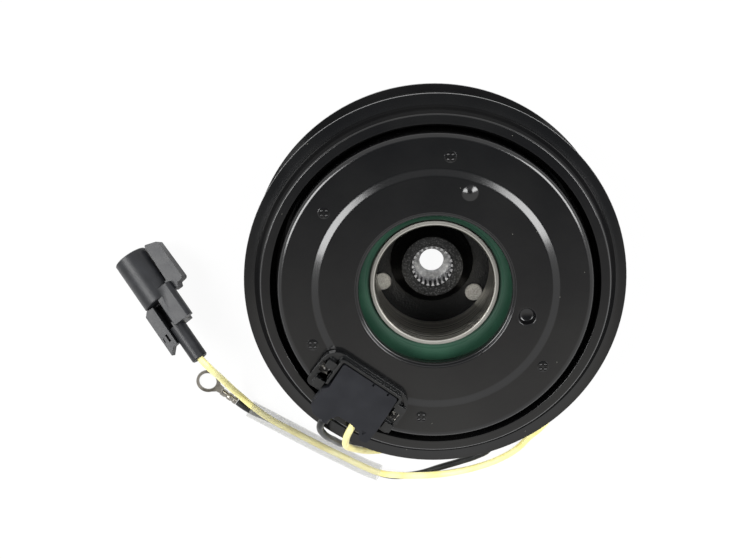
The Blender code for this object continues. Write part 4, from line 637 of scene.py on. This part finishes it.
# Bearing. A wide sealed ball bearing: ground steel rings, a nylon cage, twelve balls and
# a green rubber seal at the back; a split steel ring keeps it in the pulley.
# Ground bearing steel: bright with very fine rings from the grinding wheel.
ground_steel, shader = surface("ground bearing steel")
place = add(ground_steel, "ShaderNodeTexCoord", {})
split = add(ground_steel, "ShaderNodeSeparateXYZ", {"Vector": place.outputs["Object"]})
plan = add(ground_steel, "ShaderNodeCombineXYZ", {"X": split.outputs["X"], "Y": split.outputs["Y"]})
reach = add(ground_steel, "ShaderNodeVectorMath", {0: plan.outputs["Vector"]}, operation="LENGTH")
across = add(ground_steel, "ShaderNodeMath", {0: reach.outputs["Value"], 1: split.outputs["Z"]}, operation="ADD")
rings = add(ground_steel, "ShaderNodeTexNoise", {"W": across.outputs["Value"], "Scale": 1000.0, "Detail": 2.0},
            noise_dimensions="1D")
tone = add(ground_steel, "ShaderNodeValToRGB", {"Fac": rings.outputs["Fac"]}, [
    (0.40, linear("#55534D")), (0.58, linear("#C4C1B8")),
])
gloss = add(ground_steel, "ShaderNodeMapRange", {"Value": rings.outputs["Fac"], "To Min": 0.26, "To Max": 0.44})
relief = add(ground_steel, "ShaderNodeBump", {"Height": rings.outputs["Fac"], "Strength": 0.8, "Distance": 0.00014})
add(ground_steel, shader, {
    "Base Color": tone.outputs["Color"], "Metallic": 1.0, "Roughness": gloss.outputs["Result"],
    "Normal": relief.outputs["Normal"],
})
# The land at the ring's end gets a paler, less metallic copy of the ground steel: painted light on the face towards
# the lamps, with the same fine rings.
lit_land_steel = ground_steel.copy()
lit_land_steel.name = "bearing steel painted lit on the land"
add(lit_land_steel, lit_land_steel.node_tree.nodes["Principled BSDF"], {"Metallic": 0.45})
for node in lit_land_steel.node_tree.nodes:
    if node.type == "VALTORGB":
        add(lit_land_steel, node, {}, [(0.36, linear("#65635E")), (0.60, linear("#BAB8B1"))])
inner_body = turned([
    (20.5, 14.9), (21.8, 14.9), (21.8, 17.1), (22.9, 17.1), (22.9, 23.2), (22.4, 24.2), (22.1, 25.15),
    (22.4, 26.1), (22.9, 27.1), (22.9, 33.2), (21.8, 33.2), (21.8, 35.25), (21.7, 35.35), (21.55, 35.4),
    (21.2, 35.4), (21.15, 35.34), (21.05, 35.34), (21.0, 35.4), (20.6, 35.4), (20.35, 35.3), (20.1, 35.05),
    (20.0, 34.7), (20.0, 15.4), (20.15, 15.1),
], 160)
for face in inner_body.faces:
    face.material_index = int(face.calc_center_median().z > 35.28 * mm)
inner_ring = finished(
    "ground_inner_ring", inner_body, [ground_steel, lit_land_steel], "stator", ["bearing_inner_ring"],
)
outer_ring = finished("ground_outer_ring", turned([
    (30.5, 14.9), (28.1, 14.9), (28.1, 23.2), (28.6, 24.2), (28.9, 25.15), (28.6, 26.1), (28.1, 27.1),
    (28.1, 35.4), (30.5, 35.4), (31.0, 34.9), (31.0, 15.4),
], 128), [ground_steel], "pulley", ["bearing_outer_ring"], edge=0.08)
for i in range(12):
    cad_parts[f"bearing_ball_{i + 1:02d}"].material_slots[0].material = ground_steel

# Moulded nitrile rubber: smooth, a soft sheen, slightly dusty.
green_rubber, shader = surface("green moulded nitrile rubber")
place = add(green_rubber, "ShaderNodeTexCoord", {})
bloom = add(green_rubber, "ShaderNodeTexNoise", {"Vector": place.outputs["Object"], "Scale": 90.0, "Detail": 4.0})
tone = add(green_rubber, "ShaderNodeValToRGB", {"Fac": bloom.outputs["Fac"]}, [
    (0.30, linear("#18382A")), (0.72, linear("#204433")),
])
fine = add(green_rubber, "ShaderNodeTexNoise", {"Vector": place.outputs["Object"], "Scale": 2200.0, "Detail": 2.0})
gloss = add(green_rubber, "ShaderNodeMapRange", {"Value": bloom.outputs["Fac"], "To Min": 0.50, "To Max": 0.65})
relief = add(green_rubber, "ShaderNodeBump", {"Height": fine.outputs["Fac"], "Strength": 0.2, "Distance": 0.00004})
add(green_rubber, shader, {
    "Base Color": tone.outputs["Color"], "Roughness": gloss.outputs["Result"],
    "Normal": relief.outputs["Normal"], "IOR": 1.52, "Specular IOR Level": 0.25,
})
seal_back = finished("green_back_seal", turned([
    (22.1, 33.5), (22.1, 34.3), (22.9, 34.35), (23.2, 34.55), (23.5, 34.9), (24.0, 35.05), (25.2, 35.1),
    (26.6, 34.95), (27.8, 34.6), (27.8, 33.5),
], 160), [green_rubber], "pulley", ["bearing_seal_back"])

# Moulded black rubber: matt, faintly grainy.
black_rubber, shader = surface("black moulded rubber")
place = add(black_rubber, "ShaderNodeTexCoord", {})
bloom = add(black_rubber, "ShaderNodeTexNoise", {"Vector": place.outputs["Object"], "Scale": 200.0, "Detail": 4.0})
tone = add(black_rubber, "ShaderNodeValToRGB", {"Fac": bloom.outputs["Fac"]}, [
    (0.30, linear("#17181A")), (0.72, linear("#242527")),
])
relief = add(black_rubber, "ShaderNodeBump", {"Height": bloom.outputs["Fac"], "Strength": 0.3, "Distance": 0.0001})
add(black_rubber, shader, {
    "Base Color": tone.outputs["Color"], "Roughness": 0.6, "Normal": relief.outputs["Normal"],
})
seal_front = finished("black_front_seal", turned([
    (22.1, 16.8), (22.1, 16.0), (22.9, 15.95), (23.2, 15.75), (23.5, 15.4), (24.0, 15.25), (25.2, 15.2),
    (26.6, 15.35), (27.8, 15.7), (27.8, 16.8),
], 128), [black_rubber], "pulley", ["bearing_seal_front"])

# Bare steel: cut and rolled strip with a dull grain and a trace of oil.
bare_steel, shader = surface("bare rolled steel")
place = add(bare_steel, "ShaderNodeTexCoord", {})
grain = add(bare_steel, "ShaderNodeTexNoise", {"Vector": place.outputs["Object"], "Scale": 1300.0, "Detail": 5.0})
stain = add(bare_steel, "ShaderNodeTexNoise", {"Vector": place.outputs["Object"], "Scale": 110.0, "Detail": 4.0})
tone = add(bare_steel, "ShaderNodeValToRGB", {"Fac": stain.outputs["Fac"]}, [
    (0.32, linear("#77746E")), (0.70, linear("#9C9992")),
])
gloss = add(bare_steel, "ShaderNodeMapRange", {"Value": grain.outputs["Fac"], "To Min": 0.34, "To Max": 0.58})
relief = add(bare_steel, "ShaderNodeBump", {"Height": grain.outputs["Fac"], "Strength": 0.4, "Distance": 0.00008})
add(bare_steel, shader, {
    "Base Color": tone.outputs["Color"], "Metallic": 1.0, "Roughness": gloss.outputs["Result"],
    "Normal": relief.outputs["Normal"],
})
clip_outline = [polar(32.3, 9 + 342 * i / 90) for i in range(91)]
clip_outline += [polar(30.3, 351 - 342 * i / 90) for i in range(91)]
snap_ring = finished(
    "split_snap_ring", flat(clip_outline, 35.7, 36.9), [bare_steel], "pulley", ["snap_ring"], edge=0.12,
)


# Hub. Steel forging, phosphated black, with its bore broached and its seat turned
# afterwards, so those stay bright; the roots between the splines are left black as painted shade. The compressor's
# shaft goes into the splines.
# Manganese phosphate: dark crystalline skin; its light dots are partly crystal grain and partly painted glints.
phosphate, shader = surface("black manganese phosphate")
place = add(phosphate, "ShaderNodeTexCoord", {})
crystals = add(phosphate, "ShaderNodeTexVoronoi", {"Vector": place.outputs["Object"], "Scale": 1500.0})
flange_reach = add(phosphate, "ShaderNodeSeparateXYZ", {"Vector": place.outputs["Object"]})
# Below the boss face, the flange deep in the bore included, the colour is a flat near-black: painted shade.
on_boss = add(phosphate, "ShaderNodeMath", {0: flange_reach.outputs["Z"], 1: 14.0 * mm}, operation="GREATER_THAN")
grain_and_glint = add(phosphate, "ShaderNodeValToRGB", {"Fac": crystals.outputs["Distance"]}, [
    (0.08, linear("#505050")), (0.42, linear("#1C1C1C")), (0.75, linear("#0A0A0A")),
])
tone = add(phosphate, "ShaderNodeMix", {0: on_boss.outputs["Value"], 6: linear("#090909"), 7: grain_and_glint.outputs["Color"]},
           data_type="RGBA")
relief = add(phosphate, "ShaderNodeBump", {"Height": crystals.outputs["Distance"], "Strength": 0.6, "Distance": 0.00015})
add(phosphate, shader, {
    "Base Color": tone.outputs[2], "Roughness": 0.42, "Normal": relief.outputs["Normal"], "Specular IOR Level": 0.35,
})
# Broached steel: bright, with streaks along the cut.
broached_steel, shader = surface("bright broached steel")
place = add(broached_steel, "ShaderNodeTexCoord", {})
streak = add(broached_steel, "ShaderNodeMapping", {"Vector": place.outputs["Object"], "Scale": (1.0, 1.0, 0.15)})
cut = add(broached_steel, "ShaderNodeTexNoise", {"Vector": streak.outputs["Vector"], "Scale": 900.0, "Detail": 4.0})
tone = add(broached_steel, "ShaderNodeValToRGB", {"Fac": cut.outputs["Fac"]}, [
    (0.30, linear("#9A9A9C")), (0.68, linear("#D2D2D2")),
])
relief = add(broached_steel, "ShaderNodeBump", {"Height": cut.outputs["Fac"], "Strength": 0.4, "Distance": 0.0001})
add(broached_steel, shader, {
    "Base Color": tone.outputs["Color"], "Metallic": 0.6, "Roughness": 0.34, "Normal": relief.outputs["Normal"],
})
hub_body = turned([
    (0.0, 3.4), (25.3, 3.4), (25.5, 3.6), (25.5, 6.2), (25.3, 6.4), (14.9, 6.4), (14.5, 6.8), (14.5, 8.0),
    (14.2, 8.45), (11.3, 11.7), (11.0, 12.3), (11.0, 13.9), (10.85, 14.15), (10.6, 14.25), (0.0, 14.25),
], 128)
teeth = []
for i in range(24):
    for share, radius in (
        (0.00, 6.5), (0.15, 6.47), (0.30, 6.5), (0.40, 6.95), (0.48, 7.4), (0.58, 7.5), (0.72, 7.5), (0.82, 7.4), (0.90, 6.95),
    ):
        teeth.append(polar(radius, 15 * (i + share)))
hub_body = combined(hub_body, flat(teeth, 7.25, 15.5), "DIFFERENCE")
hub_body = combined(hub_body, turned([
    (0.0, 2.4), (4.4, 2.4), (4.4, 6.05), (4.55, 6.15), (6.45, 7.45), (0.0, 7.45),
], 64), "DIFFERENCE")
hub_body = combined(hub_body, turned([(0.0, 13.75), (7.3, 13.75), (8.0, 14.45), (0.0, 14.45)], 96), "DIFFERENCE")
rivet_holes = joined(*[flat(ring_of(2.4, 32, polar(19.3, 83 + 120 * i)), 2.4, 7.4) for i in range(3)])
hub_body = combined(hub_body, rivet_holes, "DIFFERENCE")
# Only the tooth tips and inner flanks get the bright steel; the roots and outer flanks keep the phosphate black, as
# painted shade in the gaps.
for face in hub_body.faces:
    spot = face.calc_center_median()
    if math.hypot(spot.x, spot.y) < 7.1 * mm and 3.5 * mm < spot.z < 14.2 * mm:
        face.material_index = 1
hub = finished(
    "forged_splined_hub", hub_body, [phosphate, broached_steel], "hub", ["splined_hub"],
)


# Rivets. Six plain steel rivets, cold headed: three hold the leaf springs and the stop
# plate to the hub, three hold the other ends of the springs to the armature.
# Cold-headed steel: pale and grainy, dull where the punch has struck it.
rivet_steel, shader = surface("cold-headed steel")
place = add(rivet_steel, "ShaderNodeTexCoord", {})
grain = add(rivet_steel, "ShaderNodeTexNoise", {"Vector": place.outputs["Object"], "Scale": 1900.0, "Detail": 4.0})
tone = add(rivet_steel, "ShaderNodeValToRGB", {"Fac": grain.outputs["Fac"]}, [
    (0.30, linear("#85827B")), (0.70, linear("#B8B5AD")),
])
relief = add(rivet_steel, "ShaderNodeBump", {"Height": grain.outputs["Fac"], "Strength": 0.7, "Distance": 0.00012})
add(rivet_steel, shader, {
    "Base Color": tone.outputs["Color"], "Metallic": 0.35, "Roughness": 0.55, "Normal": relief.outputs["Normal"],
})
for i in range(3):
    angle = 83 + 120 * i
    hub_rivet = turned([
        (0.0, 0.1), (2.9, 0.1), (3.2, 0.4), (3.2, 0.9), (2.1, 0.9), (2.1, 6.7), (3.1, 6.7), (3.2, 6.85),
        (3.15, 7.2), (2.9, 7.42), (2.2, 7.5), (0.0, 7.5),
    ], 40)
    finished(f"headed_hub_rivet_{i + 1}", placed(hub_rivet, (*polar(19.3, angle), 0)), [rivet_steel],
             "hub", [f"hub_rivet_{i + 1}"])
    armature_rivet = turned([
        (0.0, 0.8), (2.9, 0.8), (3.2, 1.1), (3.2, 1.75), (2.1, 1.75), (2.1, 6.7), (3.2, 6.7), (3.2, 7.2),
        (2.9, 7.5), (0.0, 7.5),
    ], 40)
    finished(f"headed_armature_rivet_{i + 1}", placed(armature_rivet, (*polar(44.0, angle + 62), 0)), [rivet_steel],
             "armature", [f"armature_rivet_{i + 1}"])


# Stop plate. Stamped steel with three ears for the buffers, coated black: the front of
# the clutch, held under the heads of the hub rivets.
stop_outline = []
for i in range(3):
    middle = 175 + 120 * i
    tip = polar(32.0, middle)
    stop_outline += [tip + polar(6.0, middle - 90 + 180 * k / 16) for k in range(17)]
    half = math.degrees(math.asin(6.0 / 24.0))
    stop_outline += [polar(24.0, middle + half + (120 - 2 * half) * k / 18) for k in range(1, 18)]
stop_holes = [ring_of(9.0, 64)]
stop_holes += [ring_of(2.4, 32, polar(19.3, 83 + 120 * i)) for i in range(3)]
stop_holes += [ring_of(1.7, 28, polar(33.0, 175 + 120 * i)) for i in range(3)]
stop_body = flat(stop_outline, 0.0, 2.0, stop_holes)
stop_body = combined(
    stop_body, joined(*[flat(ring_of(3.5, 40, polar(19.3, 83 + 120 * i)), -1.0, 1.2) for i in range(3)]), "DIFFERENCE",
)
stop_plate = finished(
    "stamped_stop_plate", stop_body, [pressed_coat], "hub", ["stop_plate"], edge=0.2,
)


# Leaf springs. Three strips of hardened spring steel, each riveted to the hub at one end
# and to the armature at the other.
for i in range(3):
    inner = polar(19.3, 83 + 120 * i)
    outer = polar(44.0, 145 + 120 * i)
    along = outer - inner
    strip_outline = [polar(4.6, 90 + 180 * k / 20) for k in range(21)]
    strip_outline += [Vector((along.length, 0)) + polar(4.6, -90 + 180 * k / 20) for k in range(21)]
    leaf = flat(strip_outline, 2.3, 3.1, [ring_of(2.4, 32), ring_of(2.4, 32, (along.length, 0))])
    placed(leaf, (inner.x, inner.y, 0), math.degrees(math.atan2(along.y, along.x)))
    finished(f"spring_strip_{i + 1}", leaf, [bare_steel], "hub", [f"leaf_spring_{i + 1}"], edge=0.1)


# Buffers. Rubber buttons pulled through the ears of the stop plate, so that the armature
# lands softly when the coil lets go.
for i in range(3):
    button = turned([
        (0.0, 0.4), (1.2, 0.4), (1.4, 0.6), (1.4, 2.3), (3.2, 2.3), (3.4, 2.45), (3.4, 2.9), (3.2, 3.1), (0.0, 3.1),
    ], 36)
    finished(f"rubber_button_{i + 1}", placed(button, (*polar(33.0, 175 + 120 * i), 0)), [black_rubber],
             "hub", [f"rubber_buffer_{i + 1}"])


# Armature. Flat low-carbon steel ring, ground on the side that the coil pulls against
# the friction disc.
armature_holes = [ring_of(27.0, 128)]
armature_holes += [ring_of(2.4, 32, polar(44.0, 145 + 120 * i)) for i in range(3)]
armature_holes += [curved_slot(34.5, 1.1, 45 + 90 * i, 36.0, 20) for i in range(4)]
armature_body = flat(ring_of(51.0, 160), 3.4, 8.2, armature_holes)
armature_body = combined(
    armature_body, joined(*[flat(ring_of(3.5, 40, polar(44.0, 145 + 120 * i)), 6.4, 9.2) for i in range(3)]), "DIFFERENCE",
)
armature = finished(
    "ground_armature", armature_body, [bare_steel], "armature", ["armature_plate"], edge=0.2,
)


# Terminal box. A black PBT base clipped to the mounting plate, with the coil's ends in
# two folded clips, and a satin lid snapped over it between four tabs.
gloss_pbt, shader = surface("glossy black moulded PBT")
place = add(gloss_pbt, "ShaderNodeTexCoord", {})
mottle = add(gloss_pbt, "ShaderNodeTexNoise", {"Vector": place.outputs["Object"], "Scale": 240.0, "Detail": 3.0})
tone = add(gloss_pbt, "ShaderNodeValToRGB", {"Fac": mottle.outputs["Fac"]}, [
    (0.30, linear("#0C0D0E")), (0.70, linear("#151617")),
])
gloss = add(gloss_pbt, "ShaderNodeMapRange", {"Value": mottle.outputs["Fac"], "To Min": 0.14, "To Max": 0.28})
relief = add(gloss_pbt, "ShaderNodeBump", {"Height": mottle.outputs["Fac"], "Strength": 0.2, "Distance": 0.0001})
add(gloss_pbt, shader, {
    "Base Color": tone.outputs["Color"], "Roughness": gloss.outputs["Result"],
    "Normal": relief.outputs["Normal"], "IOR": 1.55,
})
base_body = flat(rounded([(-18.0, -34.6, 6.0), (-18.0, -50.6, 2.0), (16.0, -50.6, 2.0), (16.0, -34.6, 6.0)], 12), 44.75, 46.35)
fence = flat(rounded([
    (-12.65, -46.0, 0), (-12.65, -35.55, 1.2), (11.85, -35.55, 1.2), (11.85, -40.0, 0), (10.95, -40.0, 0),
    (10.95, -36.45, 0.5), (-11.75, -36.45, 0.5), (-11.75, -46.0, 0),
], 5), 45.85, 49.75)
base_body = combined(base_body, fence, "UNION")
lip = flat(rounded([
    (-18.0, -43.8, 0), (-18.0, -34.6, 6.0), (16.0, -34.6, 6.0), (16.0, -45.4, 0), (14.8, -45.4, 0),
    (14.8, -35.8, 4.8), (-16.8, -35.8, 4.8), (-16.8, -43.8, 0),
], 12), 45.9, 47.45)
base_body = combined(base_body, lip, "UNION")
tabs = []
for low, high in (
    ((-16.1, -41.4), (-12.7, -38.6)), ((-16.1, -49.0), (-12.7, -46.2)),
    ((11.9, -41.4), (15.3, -38.6)), ((11.9, -49.0), (15.3, -46.2)),
):
    tabs.append(block((*low, 45.85), (*high, 48.95)))
base_body = combined(base_body, joined(*tabs), "UNION")
terminal_base = finished(
    "terminal_base_moulding", placed(base_body, turn=-35.0), [gloss_pbt], "stator",
    ["terminal_base"], edge=0.3, rows=3,
)

# Satin PBT: charcoal, spark-eroded mould texture, faint flow marks.
satin_pbt, shader = surface("satin charcoal moulded PBT")
place = add(satin_pbt, "ShaderNodeTexCoord", {})
mottle = add(satin_pbt, "ShaderNodeTexNoise", {"Vector": place.outputs["Object"], "Scale": 120.0, "Detail": 4.0})
tone = add(satin_pbt, "ShaderNodeValToRGB", {"Fac": mottle.outputs["Fac"]}, [
    (0.30, linear("#15161A")), (0.70, linear("#1D1E22")),
])
spark = add(satin_pbt, "ShaderNodeTexNoise", {"Vector": place.outputs["Object"], "Scale": 4200.0, "Detail": 2.0})
gloss = add(satin_pbt, "ShaderNodeMapRange", {"Value": mottle.outputs["Fac"], "To Min": 0.36, "To Max": 0.50})
relief = add(satin_pbt, "ShaderNodeBump", {"Height": spark.outputs["Fac"], "Strength": 0.3, "Distance": 0.00004})
add(satin_pbt, shader, {
    "Base Color": tone.outputs["Color"], "Roughness": gloss.outputs["Result"],
    "Normal": relief.outputs["Normal"], "IOR": 1.55, "Specular IOR Level": 0.22,
})
lid_body = flat(rounded([
    (-11.4, -36.6, 0.8), (-10.9, -46.2, 0.5), (-12.4, -47.8, 0.8), (-12.5, -54.8, 1.8), (-10.2, -57.2, 1.2),
    (-5.4, -57.4, 1.0), (-2.6, -53.0, 1.2), (2.2, -53.0, 0.6), (6.2, -53.6, 1.0), (8.0, -56.2, 0.9),
    (11.0, -55.8, 1.2), (11.2, -49.4, 0.8), (10.4, -36.7, 0.8),
], 5), 46.65, 50.65)
lid_body = combined(lid_body, block((-10.5, -52.1, 45.6), (9.7, -37.7, 49.75)), "DIFFERENCE")
for x in (3.9, -5.5):
    drill = flat(ring_of(1.7, 28), 0.0, 12.0)
    bmesh.ops.rotate(drill, cent=(0, 0, 0), matrix=Matrix.Rotation(math.pi / 2, 3, "X"), verts=drill.verts)
    bmesh.ops.translate(drill, vec=(x * mm, -50.0 * mm, 48.2 * mm), verts=drill.verts)
    lid_body = combined(lid_body, drill, "DIFFERENCE")
for x in (0.8, 6.7):
    lid_body = combined(lid_body, block((x - 0.35, -37.6, 49.6), (x + 0.35, -36.0, 51.0)), "DIFFERENCE")
collar = flat(ring_of(2.1, 32), -1.1, 1.1)
bmesh.ops.rotate(collar, cent=(0, 0, 0), matrix=Matrix.Rotation(math.pi / 2, 3, "X"), verts=collar.verts)
bmesh.ops.translate(collar, vec=(-5.5 * mm, -56.9 * mm, 48.2 * mm), verts=collar.verts)
lid_body = combined(lid_body, collar, "UNION")
bore = flat(ring_of(1.45, 28), -12.0, 12.0)
bmesh.ops.rotate(bore, cent=(0, 0, 0), matrix=Matrix.Rotation(math.pi / 2, 3, "X"), verts=bore.verts)
bmesh.ops.translate(bore, vec=(-5.5 * mm, -56.9 * mm, 48.2 * mm), verts=bore.verts)
lid_body = combined(lid_body, bore, "DIFFERENCE")
mark = flat([(7.0, -52.6), (8.7, -52.6), (7.9, -54.0)], 50.25, 51.0)
lid_body = combined(lid_body, mark, "DIFFERENCE")
lid = finished(
    "terminal_lid_moulding", placed(lid_body, turn=-35.0), [satin_pbt], "stator",
    ["terminal_lid"], edge=0.35, rows=3,
)
# Tinned brass painted dark as shade inside the box, with a few painted glints.
shaded_tin, shader = surface("tinned brass clip painted in shade")
place = add(shaded_tin, "ShaderNodeTexCoord", {})
glint_noise = add(shaded_tin, "ShaderNodeTexNoise", {"Vector": place.outputs["Object"], "Scale": 900.0, "Detail": 3.0})
tone = add(shaded_tin, "ShaderNodeValToRGB", {"Fac": glint_noise.outputs["Fac"]}, [
    (0.35, linear("#141414")), (0.55, linear("#2C2B2A")), (0.72, linear("#7A7872")),
])
add(shaded_tin, shader, {"Base Color": tone.outputs["Color"], "Metallic": 0.9, "Roughness": 0.3})
# Clips: the left one was crushed flat on the coil's end, the right one keeps its four ribs.
crushed = block((-17.3, -43.9, 46.7), (-13.9, -40.7, 48.2))
bmesh.ops.subdivide_edges(crushed, edges=crushed.edges, cuts=5, use_grid_fill=True)
for vert in crushed.verts:
    vert.co += noise.noise_vector(vert.co * 900.0) * 0.55 * mm
finished("crushed_left_clip", placed(crushed, turn=-35.0), [shaded_tin], "stator", ["left_terminal"])
ribs = block((12.0, -44.3, 46.7), (15.0, -41.7, 47.5))
for k in range(4):
    rib = flat(ring_of(0.36, 14), -1.3, 1.3)
    bmesh.ops.rotate(rib, cent=(0, 0, 0), matrix=Matrix.Rotation(math.pi / 2, 3, "X"), verts=rib.verts)
    bmesh.ops.translate(rib, vec=((12.4 + 0.72 * k) * mm, -43.0 * mm, 47.62 * mm), verts=rib.verts)
    ribs = combined(ribs, rib, "UNION")
finished("ribbed_right_clip", placed(ribs, turn=-35.0), [shaded_tin], "stator", ["right_terminal"])
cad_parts["suppression_diode"].material_slots[0].material = gloss_pbt


# Floor and light. A white sheet under the clutch, a large softbox at the left and the right,
# and a card overhead, darkest in its middle, that keeps the coat black.
white_sheet, shader = surface("matt white paper")
place = add(white_sheet, "ShaderNodeTexCoord", {})
fibre = add(white_sheet, "ShaderNodeTexNoise", {"Vector": place.outputs["Object"], "Scale": 60.0, "Detail": 3.0})
tone = add(white_sheet, "ShaderNodeValToRGB", {"Fac": fibre.outputs["Fac"]}, [
    (0.3, linear("#F6F6F6")), (0.7, linear("#FAFAFA")),
])
add(white_sheet, shader, {"Base Color": tone.outputs["Color"], "Roughness": 0.9, "Specular IOR Level": 0.0})
# Seen by the camera or through something clear, the sheet is lit nearly to white, and in a
# reflection half-way; the rest is its own shading, which keeps the shadow.
rays = add(white_sheet, "ShaderNodeLightPath", {})
seen = add(white_sheet, "ShaderNodeMath", {0: rays.outputs["Is Camera Ray"], 1: rays.outputs["Is Transmission Ray"]},
           operation="MAXIMUM")
seen = add(white_sheet, "ShaderNodeMath", {0: seen.outputs["Value"], 1: 0.94}, operation="MULTIPLY")
mirrored = add(white_sheet, "ShaderNodeMath", {0: rays.outputs["Is Glossy Ray"], 1: 0.40}, operation="MULTIPLY")
share = add(white_sheet, "ShaderNodeMath", {0: seen.outputs["Value"], 1: mirrored.outputs["Value"]},
            operation="MAXIMUM")
glow = add(white_sheet, "ShaderNodeEmission", {"Color": (1.0, 1.0, 1.0, 1.0), "Strength": 1.0})
blend = add(white_sheet, "ShaderNodeMixShader", {
    0: share.outputs["Value"], 1: shader.outputs["BSDF"], 2: glow.outputs["Emission"],
})
add(white_sheet, white_sheet.node_tree.nodes["Material Output"], {"Surface": blend.outputs["Shader"]})
floor_bm = bmesh.new()
bmesh.ops.create_grid(floor_bm, x_segments=1, y_segments=1, size=3.0)
floor_mesh = bpy.data.meshes.new("floor")
floor_bm.to_mesh(floor_mesh)
floor_bm.free()
floor_mesh.materials.append(white_sheet)
floor = bpy.data.objects.new("floor", floor_mesh)
floor.location.z = -0.05 * mm
bpy.context.collection.objects.link(floor)

world = bpy.data.worlds.new("studio")
bpy.context.scene.world = world
world.use_nodes = True
plain = world.node_tree.nodes["Background"]
plain.inputs["Color"].default_value = (1.0, 1.0, 1.0, 1.0)
rays = world.node_tree.nodes.new("ShaderNodeLightPath")
seen = world.node_tree.nodes.new("ShaderNodeMath")
seen.operation = "MAXIMUM"
shown = world.node_tree.nodes.new("ShaderNodeMath")
shown.operation = "MAXIMUM"
level = world.node_tree.nodes.new("ShaderNodeMapRange")
level.inputs["To Min"].default_value = 0.45
level.inputs["To Max"].default_value = 1.0
world.node_tree.links.new(rays.outputs["Is Camera Ray"], seen.inputs[0])
world.node_tree.links.new(rays.outputs["Is Glossy Ray"], seen.inputs[1])
world.node_tree.links.new(seen.outputs["Value"], shown.inputs[0])
world.node_tree.links.new(rays.outputs["Is Transmission Ray"], shown.inputs[1])
world.node_tree.links.new(shown.outputs["Value"], level.inputs["Value"])
world.node_tree.links.new(level.outputs["Result"], plain.inputs["Strength"])

card_bm = bmesh.new()
bmesh.ops.create_grid(card_bm, x_segments=1, y_segments=1, size=0.62)
card_mesh = bpy.data.meshes.new("card")
card_bm.to_mesh(card_mesh)
card_bm.free()
dark_card, shader = surface("shaded overhead card")
place = add(dark_card, "ShaderNodeTexCoord", {})
split = add(dark_card, "ShaderNodeSeparateXYZ", {"Vector": place.outputs["Object"]})
along = add(dark_card, "ShaderNodeMapRange", {"Value": split.outputs["Y"], "From Min": -0.62, "From Max": 0.62})
shade = add(dark_card, "ShaderNodeValToRGB", {"Fac": along.outputs["Result"]}, [
    (0.00, (1.0, 0.98, 0.94, 1.0)), (0.13, (0.78, 0.76, 0.72, 1.0)), (0.25, (0.42, 0.41, 0.40, 1.0)),
    (0.35, (0.11, 0.12, 0.13, 1.0)), (0.48, (0.07, 0.08, 0.09, 1.0)), (0.70, (0.10, 0.11, 0.12, 1.0)),
    (1.00, (0.45, 0.46, 0.48, 1.0)),
])
add(dark_card, shader, {
    "Base Color": (0.0, 0.0, 0.0, 1.0), "Specular IOR Level": 0.0,
    "Emission Color": shade.outputs["Color"], "Emission Strength": 1.0,
})
card_mesh.materials.append(dark_card)
card = bpy.data.objects.new("card", card_mesh)
card.location = (0.0, 0.0, 1.1)
card.visible_camera = False
card.visible_shadow = False
card.visible_diffuse = False
bpy.context.collection.objects.link(card)

for name, spot, power, size in (
    ("softbox right", (0.72, 0.29, 0.86), 13.0, 0.55),
    ("softbox left", (-0.72, 0.19, 0.88), 13.0, 0.55),
):
    lamp = bpy.data.lights.new(name, "AREA")
    lamp.energy = power
    lamp.size = size
    holder = bpy.data.objects.new(name, lamp)
    holder.location = spot
    holder.rotation_euler = (-Vector(spot)).to_track_quat("-Z", "Y").to_euler()
    bpy.context.collection.objects.link(holder)

bpy.context.scene.view_settings.view_transform = "Standard"
